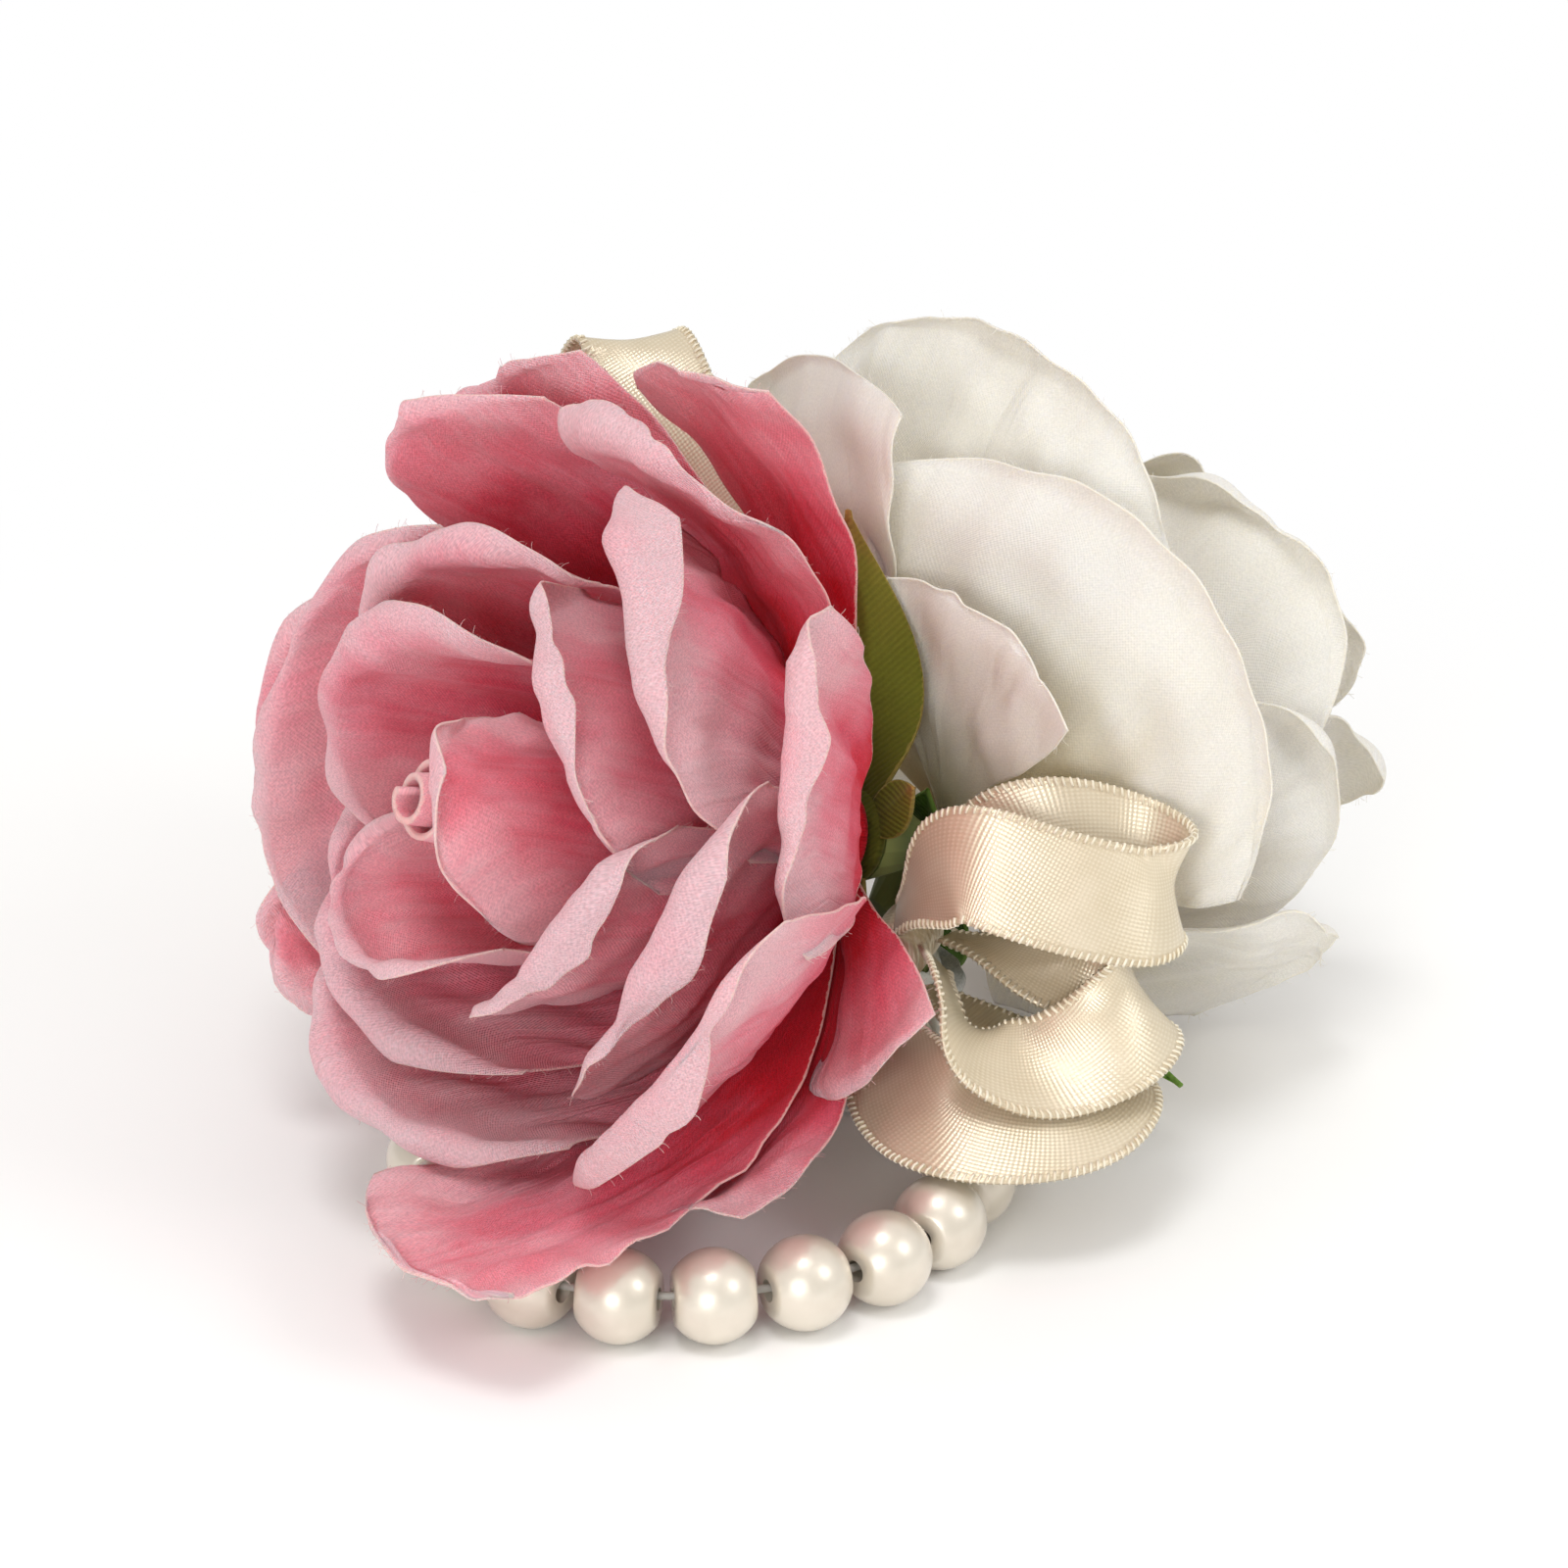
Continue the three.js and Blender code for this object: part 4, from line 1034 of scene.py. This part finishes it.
def bud_cloth(foot, top):
    """A rolled strip, as the outline of its cross-section swept round the pin."""
    i = np.linspace(0, 1, BUD_STEPS)
    shares = np.linspace(0, 1, BUD_ROWS)
    swell = np.interp(shares, *zip(*BUD_PROFILE))
    swell = np.pad(swell, ROUNDED_ROWS // 2, "edge")
    swell = np.convolve(swell, np.ones(ROUNDED_ROWS) / ROUNDED_ROWS, "valid")
    turn = 2 * np.pi * BUD_TURNS * i
    radius = PIN_D / 2 + BUD_STRIP + (BUD_D / 2 - PIN_D / 2 - BUD_STRIP) * i
    crown = top - (top - foot) * CROWN_DROP * i
    middle = (radius - BUD_STRIP / 2)[None] * swell[:, None]
    z = foot + shares[:, None] * (crown - foot)[None]
    form = np.stack([middle * np.cos(turn), middle * np.sin(turn), z], -1)
    v = np.repeat(shares[:, None], BUD_STEPS, 1)
    notes = {"along": 0.25 + 0.5 * v, "edge": (1 - v) * (top - foot), "tone": np.zeros_like(v)}
    length = np.repeat(run_along(form, 1)[BUD_ROWS // 2][None], BUD_ROWS, 0)
    return form, notes, np.stack([length, v * (top - foot)], -1) * LAYOUT


for name, rose in ROSES.items():
    foot = LAYER_PITCH * (LAYERS + 1)
    sheet = stand_sheet(closed_cloth(*bud_cloth(foot, rose["bud_top"]), BUD_T), rose)
    bud = make_piece(f"{name}_bud_cloth", sheet, rose["cloth"], [f"{name}_bud"])

# %% [markdown]
# ## The green sepals
# Behind each rose sits a small star of green twill. Each arm is folded along its middle like a leaf.

# %% Build the sepal stars
SEPAL_T = 0.5
SEPAL_FOOT, SEPAL_TIP, SEPAL_TIP_WIDTH, SEPAL_FOLD = 0.14, 0.985, 0.05, 0.35
SEPAL_COLUMNS, SEPAL_ROWS = 25, 41
TWISTED_BY = 0.5


def sepal_cloth(turn, length, lift, width, twist=0):
    """One arm of the star, folded along its middle and twisted towards its tip."""
    u, v = np.meshgrid(np.linspace(-1, 1, SEPAL_COLUMNS), np.linspace(0, 1, SEPAL_ROWS))
    run = v * (length - FOOT_R)
    arc = np.radians(lift) * smooth(v)
    r = FOOT_R + run * np.cos(arc)
    leaf = np.sin(np.pi * np.minimum(v * (1 - SEPAL_FOOT) + SEPAL_FOOT, SEPAL_TIP))
    half = width / 2 * np.maximum(leaf, SEPAL_TIP_WIDTH)
    keel = -np.abs(u) * half * SEPAL_FOLD * smooth(v)
    twisted = np.radians(twist) * smooth(v / TWISTED_BY)
    side = u * half * np.cos(twisted) - keel * np.sin(twisted)
    z = run * np.sin(arc) + u * half * np.sin(twisted) + keel * np.cos(twisted)
    a = np.radians(turn)
    form = np.stack([r * np.cos(a) - side * np.sin(a), r * np.sin(a) + side * np.cos(a), z], -1)
    notes = {"along": v, "edge": (1 - np.abs(u)) * half, "tone": np.zeros_like(u)}
    return form, notes, np.stack([u * half, run], -1) * LAYOUT


for name, rose in ROSES.items():
    sheets = [closed_cloth(*sepal_cloth(*sepal), SEPAL_T) for sepal in rose["sepals"]]
    sheet = stand_sheet(join_sheets(sheets + [hub_disc(0)]), rose)
    star = make_piece(f"{name}_sepal_star", sheet, rose["leaf"], [f"{name}_sepals"])

# %% [markdown]
# ## The satin ribbon
# Half-inch satin ribbon is bent into loops and bound in the middle. Its threads float along the ribbon, so
# light runs across every bend in a bright band. Rows of dots show where the threads dip under each other;
# they are painted a lighter cream, which is the weave's pattern and a painted sheen on it.

# %% Make the satin
SATIN_THREAD = 0.62
DOTS_SLANT = math.radians(32)
STITCH_SHADE_FROM, STITCH_SHADE_TO = 0.8, 1.2

SATIN, tree = new_material("satin")
flat = flat_place(tree)
slanted = result(tree, "ShaderNodeMapping", {"Vector": flat, "Rotation": (0, 0, DOTS_SLANT)})
ways = add_node(tree, "ShaderNodeSeparateXYZ", {0: slanted}).outputs
dot_pitch = 2 * math.pi / (LAYOUT * SATIN_THREAD)
rows = [math_node(tree, "SINE", math_node(tree, "MULTIPLY", way, dot_pitch)) for way in (ways[0], ways[1])]
dotted = math_node(tree, "MULTIPLY", *rows)
# The dots are painted a lighter cream: the weave's pattern, and a painted sheen on it.
dots_and_sheen = remap(tree, dotted, -0.2, 0.9, 0.0, 0.5)
# Near both edges the satin is painted darker: painted shade under and between the stitches.
stitch_shade = remap(tree, note(tree, "edge"), STITCH_SHADE_FROM, STITCH_SHADE_TO, 0.35, 0.0)
cloud = remap(tree, spots(tree, flat, 14.0), 0.3, 0.7)
colour = mix_colours(tree, cloud, (0.645, 0.545, 0.375, 1), (0.71, 0.615, 0.45, 1))
colour = mix_colours(tree, dots_and_sheen, colour, (0.84, 0.76, 0.61, 1))
colour = mix_colours(tree, stitch_shade, colour, (0.48, 0.37, 0.22, 1))
finish_material(
    tree,
    Base_Color=colour,
    Metallic=0.3,
    Roughness=0.32,
    Specular_Ior_Level=1.0,
    Anisotropic=0.6,
    Tangent=result(tree, "ShaderNodeTangent", direction_type="UV_MAP", uv_map="cloth"),
    Coat_Weight=0.25,
    Coat_Roughness=0.25,
    Normal=bumps(tree, dotted, 0.3, 0.06),
)
print("satin ready, a dot every", SATIN_THREAD, "mm")

# %% [markdown]
# A ribbon follows a smooth curve through a few stations. Each station says where the middle of the ribbon
# is and which way its width lies. The ends are gathered, because the binding squeezes them together.
# Where it turns sharply in its own plane, the inner edge bunches up, so the sheet is drawn in there.

# %% Lay out the ribbon loops
RIBBON_W, RIBBON_T = 12.7, 0.4
GATHER_OVER, GATHERED = 0.16, 0.4
ROUNDED_OVER = 5.5
ROOM_IN_BEND, SOFTEN = 0.85, 6
RIBBON_ROWS, RIBBON_COLUMNS = 220, 25
UPPER_LOOP = [
    ((1.4, -17.2, 14.8), (0, 1, 0.2)),
    ((3.9, -21.7, 20.4), (-0.2, 0.5, 0.7)),
    ((7.9, -25.2, 24.8), (0.1, 0.45, 0.89)),
    ((17.9, -27.4, 22.6), (0.15, 0.45, 0.89)),
    ((27.4, -26.7, 20.4), (0.1, 0.45, 0.89)),
    ((30.4, -22.7, 21), (0, 0.45, 0.89)),
    ((26.4, -19.2, 22.8), (0, 0.45, 0.89)),
    ((16.9, -18.7, 25), (0, 0.45, 0.89)),
    ((7.9, -17.2, 20.9), (-0.2, 0.6, 0.8)),
    ((3.9, -13.2, 15.2), (0, 1, 0.2)),
]
MIDDLE_LOOP = [
    ((6.9, -14.7, 11.4), (-0.4, 0.9, -0.1)),
    ((14.9, -18.7, 11), (-0.5, 0.75, 0.2)),
    ((23.4, -21.9, 11.4), (-0.45, 0.55, 0.6)),
    ((27.3, -28.2, 10.4), (-0.5, 0.1, 0.75)),
    ((22.7, -32.8, 7.4), (-0.6, 0.5, 0.5)),
    ((15.3, -33.9, 5.3), (-0.41, 0.8, 0.44)),
    ((8.9, -32.4, 7.4), (-0.13, 0.94, 0.31)),
    ((6.3, -27.7, 11.4), (0.03, 0.97, -0.24)),
    ((5.5, -19.7, 10.9), (0, 0.97, -0.2)),
]
LOWER_LOOP = [
    ((1.2, -17.7, 6.2), (0.95, 0, 0.1)),
    ((0.4, -23.7, 3.8), (0.9, 0, 0.4)),
    ((1.4, -31.7, 2.2), (0.75, 0.15, 0.6)),
    ((5.4, -37.7, 0.9), (0.35, 0.75, 0.5)),
    ((12.9, -39.2, 0.6), (0, 0.85, 0.53)),
    ((20.2, -37.2, 1.2), (-0.45, 0.75, 0.48)),
    ((22.9, -32.7, 2.4), (-0.7, 0.6, 0.3)),
    ((20.4, -27.7, 3.2), (-0.6, 0.7, 0.2)),
    ((13.9, -23.7, 3.4), (-0.3, 0.9, 0)),
    ((7.9, -18.7, 4.8), (0, 1, 0)),
    ((5.1, -15.2, 5.7), (0, 1, 0)),
]
REAR_LEFT_LOOP = [
    ((-1.6, -7.7, 9.9), (0.3, -0.3, 0.8)),
    ((-7.1, -4.7, 10.4), (0.33, -0.4, 0.71)),
    ((-7.1, 4.3, 17.4), (0.33, -0.6, 0.71)),
    ((-14.6, 16.3, 37.4), (0.5, -0.5, 0.66)),
    ((-23.1, 28.3, 56.4), (0.9, 0, 0.3)),
    ((-26.6, 35.3, 61.4), (0.97, 0.2, 0)),
    ((-29.1, 37.3, 55.4), (0.97, 0.2, 0)),
    ((-24.6, 28.3, 46.4), (0.9, 0, 0.3)),
    ((-15.1, 16.3, 31.4), (0.5, -0.5, 0.66)),
    ((-7.1, 5.3, 13.4), (0.33, -0.6, 0.71)),
    ((-6.6, -4.2, 7.4), (0.33, -0.4, 0.71)),
    ((-1.1, -7.7, 6.4), (0.3, -0.3, 0.8)),
]
LOOPS = {
    "ribbon_upper_loop": UPPER_LOOP,
    "ribbon_middle_loop": MIDDLE_LOOP,
    "ribbon_lower_loop": LOWER_LOOP,
    "ribbon_rear_left_loop": REAR_LEFT_LOOP,
}


print("stations:", {name: len(stations) for name, stations in LOOPS.items()})

# %% [markdown]
# Three tools bend the ribbon: a curve through the stations, a mean that rounds the curve off, and a limit
# that draws the sheet in where a bend leaves no room.

# %% Tools for the ribbon


def through(stations, v, even):
    """A smooth curve through points; even gives every span the same share of speed, else by its length."""
    p = np.asarray(stations, float)
    p = np.concatenate([[2 * p[0] - p[1]], p, [2 * p[-1] - p[-2]]])
    spans = len(p) - 3
    at = np.clip(v, 0, 1) * spans
    i = np.minimum(at.astype(int), spans - 1)
    w = (at - i)[:, None]
    a, b, c, d = p[i], p[i + 1], p[i + 2], p[i + 3]
    if even:
        t1, t2 = (c - a) / 2, (d - b) / 2
    else:
        g0, g1, g2 = (np.sqrt(np.linalg.norm(y - x, axis=1))[:, None] for x, y in ((a, b), (b, c), (c, d)))
        t1 = ((b - a) / g0 - (c - a) / (g0 + g1) + (c - b) / g1) * g1
        t2 = ((c - b) / g1 - (d - b) / (g1 + g2) + (d - c) / g2) * g1
    return b + t1 * w + (3 * (c - b) - 2 * t1 - t2) * w**2 + (2 * (b - c) + t1 + t2) * w**3


def rounded(values, half):
    """Rows of values along a ribbon, each the mean of its neighbours; the two ends stay where they are."""
    ahead, behind = 2 * values[:1] - values[half:0:-1], 2 * values[-1:] - values[-2 : -half - 2 : -1]
    padded = np.concatenate([ahead, values, behind])
    return np.lib.stride_tricks.sliding_window_view(padded, 2 * half + 1, axis=0).mean(-1)


def softened(limit):
    """The limit with its low places widened and their edges softened, so that it never rises above itself."""
    wide = 2 * SOFTEN + 1
    low = np.lib.stride_tricks.sliding_window_view(np.pad(limit, 2 * SOFTEN, "edge"), wide).min(1)
    return np.convolve(low, np.ones(wide) / wide, "valid")


def ribbon_cloth(stations):
    """The grid of a ribbon, its notes, its flat layout and its length."""
    v = np.linspace(0, 1, RIBBON_ROWS)
    middle = MOUNT + through([place for place, _ in stations], v, False)
    half = round(ROUNDED_OVER / 2 / np.linalg.norm(np.diff(middle, axis=0), axis=1).mean())
    middle = rounded(middle, half)
    ahead = unit(np.gradient(middle, axis=0))
    across = rounded(through([unit(np.array(way, float)) for _, way in stations], v, True), half)
    across = unit(across - ahead * np.sum(across * ahead, 1, keepdims=True))
    gather = GATHERED + (1 - GATHERED) * smooth(np.minimum(v, 1 - v) / GATHER_OVER)
    side = np.linspace(-0.5, 0.5, RIBBON_COLUMNS) * RIBBON_W
    run = np.cumsum(np.linalg.norm(np.diff(middle, axis=0, prepend=middle[:1]), axis=1))
    bend = np.sum(np.gradient(ahead, run, axis=0) * across, 1)
    tightness = bend * RIBBON_W / 2
    room = [ROOM_IN_BEND / np.maximum(sign * tightness, 1e-6) for sign in (-1, 1)]
    left, right = (softened(np.minimum(gather, limit))[:, None] for limit in room)
    drawn = np.where(side[None] < 0, left, right)
    form = middle[:, None] + across[:, None] * (side[None] * drawn)[..., None]
    side_grid, run_grid = np.meshgrid(side, run)
    notes = {"edge": RIBBON_W / 2 - np.abs(side_grid)}
    return form, notes, np.stack([side_grid, run_grid], -1) * LAYOUT, run[-1]


print("a ribbon is a grid of", RIBBON_ROWS, "by", RIBBON_COLUMNS, "points")

# %% [markdown]
# Each loop is one sheet. Its edges are whipped with slanted stitches, set by the edging tree. Under them
# the satin is painted darker, a painted shade.

# %% Bend the ribbon loops
STITCH_PATH = [(-1.0, -0.25, 0), (-0.85, -0.2, 0.24), (-0.35, 0, 0.34), (0, 0.1, 0.2), (0, 0.1, -0.2)]
STITCH_PATH += [(-0.35, 0, -0.34), (-0.85, -0.2, -0.24)]
STITCH_R, STITCH_SIDES = 0.17, 5
STITCH_THREAD = thread_paint("stitch_thread", (0.78, 0.70, 0.53), (0.86, 0.80, 0.65))
STITCHES = {"Pitch": 0.8 * MM, "Kept share": 1.0, "Askew": 0.1, "Smallest": 0.86, "Seed": 3}
stitch_shape = repeated_shape("one_stitch", *tube(STITCH_PATH, STITCH_R, STITCH_SIDES))
for name, stations in LOOPS.items():
    form, notes, layout, length = ribbon_cloth(stations)
    facing = grid_normals(form)
    selvedges = [
        (form[:, outer], unit(form[:, outer] - form[:, inner]), facing[:, outer])
        for outer, inner in ((0, 1), (-1, -2))
    ]
    sheet = closed_cloth(form, notes, layout, RIBBON_T)
    loop = make_piece(f"{name}_satin", sheet, SATIN, [name])
    values = {**STITCHES, "Shape": stitch_shape, "Paint": STITCH_THREAD}
    edges = edge_mesh(f"{name}_selvedges", selvedges)
    stitches = apply_tree(f"{name}_stitches", edges, EDGING, values)
    print(name, round(length), "mm of ribbon,", len(stitches.data.polygons), "faces of stitches")
bpy.data.objects.remove(stitch_shape)

# %% [markdown]
# ## The pearls
# Pearl paint is a soft ivory glow under a clear, shiny coat.

# %% Make the pearl paint
PEARL, tree = new_material("pearl")
cloud = remap(tree, spots(tree, own_place(tree), 160.0, 3.0), 0.35, 0.65)
grain = spots(tree, own_place(tree), 2600.0, 1.0)
finish_material(
    tree,
    Base_Color=mix_colours(tree, cloud, (0.70, 0.64, 0.535, 1), (0.78, 0.72, 0.615, 1)),
    Metallic=0.45,
    Roughness=0.36,
    Specular_Ior_Level=0.7,
    Coat_Weight=0.7,
    Coat_Roughness=0.12,
    Sheen_Weight=0.08,
    Sheen_Tint=(1.0, 0.80, 0.80, 1),
    Normal=bumps(tree, grain, 0.05, 0.2),
)
print("pearl paint ready,", len(tree.nodes), "nodes")

# %% [markdown]
# A plastic pearl is a ball with a hole through it and flats where the next pearl presses against it.
# One pearl is turned on the lathe. A tree of Geometry Nodes then strings it: it takes the points of the
# strand, keeps the one point asked for, and stands a pearl there, turned along the strand. The frame says
# where each sits.

# %% String the pearls
PEARLS = 20
PEARL_D, PEARL_FLAT_D, PEARL_BORE_D = 10.0, 5.5, 2.4
PEARL_SIDES, PEARL_ROWS = 48, 25
PEARL_SHARP = math.radians(38)
FIXED = (7, 8)
LABELS = [f"pearl_{k + 1:02d}" for k in range(PEARLS)]
strand_places = [sum(box_mm(label)) / 2 for label in LABELS]


def hole_direction(k):
    """The way a pearl's hole points: along the fixed pair, or from the pearl before to the pearl after."""
    before, after = FIXED if k in FIXED else (k - 1, (k + 1) % PEARLS)
    return unit(strand_places[after] - strand_places[before])


def one_pearl():
    """A pearl at the origin with its hole along X."""
    half = math.sqrt(PEARL_D**2 - PEARL_FLAT_D**2) / 2
    flat_angle = math.asin(PEARL_FLAT_D / PEARL_D)
    tilt = np.linspace(flat_angle, math.pi - flat_angle, PEARL_ROWS)
    outside = [(PEARL_D / 2 * math.sin(a), -PEARL_D / 2 * math.cos(a)) for a in tilt]
    bore = PEARL_BORE_D / 2
    points, faces = lathe([(bore, -half)] + outside + [(bore, half)], PEARL_SIDES)
    pearl = repeated_shape("one_pearl", points[:, [2, 0, 1]], faces)
    pearl.data.set_sharp_from_angle(angle=PEARL_SHARP)
    return pearl


STRINGING_INPUTS = {"Strand": "Geometry", "Which pearl": "Int", "Pearl": "Object", "Paint": "Material"}


def stringing_tree():
    """Keeps one point of the strand and stands a pearl on it."""
    tree, given = new_tree("string_a_pearl", STRINGING_INPUTS)
    compared = {2: result(tree, "GeometryNodeInputIndex"), 3: given["Which pearl"]}
    others = result(tree, "FunctionNodeCompare", compared, data_type="INT", operation="NOT_EQUAL")
    kept = result(tree, "GeometryNodeDeleteGeometry", {"Geometry": given["Strand"], "Selection": others})
    turned = turned_along(tree, "hole", "X")
    repeat = {"Points": kept, "Instance": shape_of(tree, given["Pearl"]), "Rotation": turned}
    return end_tree(tree, result(tree, "GeometryNodeInstanceOnPoints", repeat), given["Paint"])


strand_mesh = new_mesh("strand", strand_places)
carry(strand_mesh, "hole", [hole_direction(k) for k in range(PEARLS)])
pearl_shape = one_pearl()
stringing = stringing_tree()
for k, label in enumerate(LABELS):
    body = "flowers" if k in FIXED else label
    values = {"Which pearl": k, "Pearl": pearl_shape, "Paint": PEARL}
    apply_tree(f"{label}_ball", strand_mesh, stringing, values, [label], body)
bpy.data.objects.remove(pearl_shape)
print("pearls strung:", PEARLS)

# %% [markdown]
# ## The elastic
# A thin elastic runs through all the pearls and is knotted inside one of them. It stretches when the
# bracelet goes over a hand, so it is made in short lengths: each pearl carries the length that reaches into
# its neighbour.

# %% Lay the elastic
CORD_D, KNOT_D = 0.9, 1.6
CORD_STEPS = 5
KNOT_SIDES, KNOT_ROWS = 16, 10
ELASTIC, tree = new_material("elastic")
# The cord is painted dark grey, not its own white: painted shade in the gaps between the pearls.
finish_material(tree, Base_Color=(0.44, 0.42, 0.38, 1), Roughness=0.35, Specular_Ior_Level=0.5)
for k in range(PEARLS):
    after = (k + 1) % PEARLS
    cord = tube(np.linspace(strand_places[k], strand_places[after], CORD_STEPS), CORD_D / 2)
    if k in FIXED and after in FIXED:
        body, replaced = "bracelet_loop", ["elastic_cord"]
    else:
        body, replaced = LABELS[after if k in FIXED else k], ()
    make_piece(f"elastic_{k + 1:02d}", cord, ELASTIC, replaced, body)
knot_points, knot_faces = ball(KNOT_D / 2, KNOT_SIDES, KNOT_ROWS)
knot_points += sum(box_mm("elastic_knot")) / 2
make_piece("elastic_knot_ball", (knot_points, knot_faces), ELASTIC, ["elastic_knot"])
print("elastic lengths:", PEARLS)

# %% [markdown]
# ## Felt, glue, stems and binding
# Two felt discs clamp the strand, and milky hot glue fills the room between them and holds the flower stems.
# The stems and receptacles of the frame keep their shape and only get their colour.

# %% Colour the mounting pieces
# The felt is painted mid grey, darker than the white felt itself: painted shade, as the discs lie in the
# shadow under the flowers.
FELT, tree = new_material("felt")
fibres = spots(tree, own_place(tree), 1400.0, 4.0, 1.5)
colour = mix_colours(tree, remap(tree, fibres, 0.3, 0.7), (0.42, 0.42, 0.40, 1), (0.62, 0.61, 0.58, 1))
felt_bumps = bumps(tree, fibres, 0.7, 0.4)
finish_material(tree, Base_Color=colour, Roughness=0.95, Sheen_Weight=0.4, Normal=felt_bumps)

GLUE, tree = new_material("glue")
flow = spots(tree, own_place(tree), 220.0, 1.0)
colour = mix_colours(tree, flow, (0.74, 0.72, 0.66, 1), (0.88, 0.87, 0.82, 1))
glue_bumps = bumps(tree, flow, 0.4, 1.0)
finish_material(tree, Base_Color=colour, Roughness=0.22, Specular_Ior_Level=0.5, Normal=glue_bumps)

STEM, tree = new_material("stem")
wrapped = {"Vector": own_place(tree), "Scale": 60.0, "Distortion": 3.0}
windings = result(tree, "ShaderNodeTexWave", wrapped)
colour = mix_colours(tree, windings, (0.10, 0.13, 0.035, 1), (0.18, 0.21, 0.06, 1))
finish_material(tree, Base_Color=colour, Roughness=0.7)
for node in ("pink_rose_receptacle", "white_rose_receptacle", "pink_stem", "white_stem"):
    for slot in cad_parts[node].material_slots:
        slot.material = STEM
print("materials:", FELT.name, GLUE.name, STEM.name)

# %% [markdown]
# A voxel remesh gives the frame's plain glue even faces, smoothing lets it run, and noise raises soft lumps.

# %% Melt the glue
GLUE_VOXEL, GLUE_ROUNDS, GLUE_PULL = 0.3, 12, 0.5
LUMP_SIZE, LUMP_RISE = 2.6, 0.35
SAME_POINT = 0.001


def melted_glue(name, node):
    """A copy of a plain glue solid, rounded off as if it had run before it set, with soft lumps."""
    plain = bmesh.new()
    plain.from_mesh(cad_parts[node].data)
    bmesh.ops.remove_doubles(plain, verts=plain.verts, dist=SAME_POINT * MM)
    mesh = bpy.data.meshes.new(f"{name}_plain")
    plain.to_mesh(mesh)
    plain.free()
    drop = new_object(f"{name}_plain", mesh)
    even = drop.modifiers.new("even_faces", "REMESH")
    even.mode, even.voxel_size = "VOXEL", GLUE_VOXEL * MM
    run = drop.modifiers.new("run_together", "SMOOTH")
    run.iterations, run.factor = GLUE_ROUNDS, GLUE_PULL
    graph = bpy.context.evaluated_depsgraph_get()
    melted = bpy.data.meshes.new_from_object(drop.evaluated_get(graph))
    bpy.data.objects.remove(drop)
    lumps = [LUMP_RISE * MM * noise.noise(v.co / (LUMP_SIZE * MM)) for v in melted.vertices]
    points = np.array([v.co + v.normal * lump for v, lump in zip(melted.vertices, lumps)])
    faces = [list(face.vertices) for face in melted.polygons]
    return make_piece(name, (points / MM, faces), GLUE, [node])


for node in ("glue_bed", "glue_mound"):
    blob = melted_glue(f"{node}_blob", node)
    print(blob.name, len(blob.data.polygons), "faces")

# %% [markdown]
# Felt is cut by hand, so each disc gets a rounded rim that is a little uneven.

# %% Cut the felt discs
FELT_SIDES, FELT_ROWS = 96, 9
FELT_ROUND, FELT_BULGE, FELT_UNEVEN = 0.05, 0.9, 0.02
NEAR_AXIS = 0.02


def felt_disc(name, node):
    """A felt disc with a softly uneven rim, the size of the disc in the frame."""
    low, high = box_mm(node)
    middle, radius = (low + high) / 2, (high[0] - low[0]) / 2
    rise = np.linspace(-1, 1, FELT_ROWS)
    rim = radius * (1 - FELT_ROUND * (1 - np.sqrt(1 - FELT_BULGE * rise * rise)))
    wall = list(zip(rim, rise * (high[2] - low[2]) / 2))
    under, top = ([(NEAR_AXIS, z), (radius * 0.5, z)] for z in (wall[0][1], wall[-1][1]))
    points, faces = lathe(under + wall + top[::-1], FELT_SIDES)
    turn = np.arctan2(points[:, 1], points[:, 0])
    uneven = 1 - FELT_UNEVEN * (1 + np.sin(5 * turn + 1) * np.sin(11 * turn))
    points[:, :2] *= uneven[:, None]
    disc = make_piece(name, (points + middle, faces), FELT, [node])
    print(name, round(2 * radius), "mm across")


felt_disc("lower_felt_disc", "lower_felt")
felt_disc("upper_felt_disc", "upper_felt")

# %% [markdown]
# A narrow strip of satin is wound round the middle of the bow. Its windings swell and sink along the drum.

# %% Wind the binding
BOW_FRONT, BOW_BACK = MOUNT + (0.9, -17.7, 10.4), MOUNT + (3.9, -9.7, 10.4)
BINDING_D, BINDING_SIDES, BINDING_STEPS = 7.0, 40, 60
WINDINGS, WINDING_MIDDLE, WINDING_RISE = 9, 0.93, 0.05
END_SHARE, END_SLOPE = 0.75, 2.5

bow_length = float(np.linalg.norm(BOW_BACK - BOW_FRONT))
share = np.linspace(0, 1, BINDING_STEPS)
binding_r = BINDING_D / 2 * (WINDING_MIDDLE + WINDING_RISE * np.sin(share * 2 * np.pi * WINDINGS))
binding_r *= np.minimum(1, END_SHARE + END_SLOPE * np.minimum(share, 1 - share))
profile = [(NEAR_AXIS, 0.0), *zip(binding_r, share * bow_length), (NEAR_AXIS, bow_length)]
points, faces = lathe(profile, BINDING_SIDES)
bow_axis = Vector(BOW_BACK - BOW_FRONT).to_track_quat("Z", "Y").to_matrix()
points = points @ np.array(bow_axis).T + BOW_FRONT
sheet = points, faces, {"edge": np.full(len(points), FAR_FROM_EDGE)}, points[:, :2] * LAYOUT
make_piece("bow_binding_wraps", sheet, SATIN, ["bow_binding"])
print("binding wound,", round(bow_length, 1), "mm long")
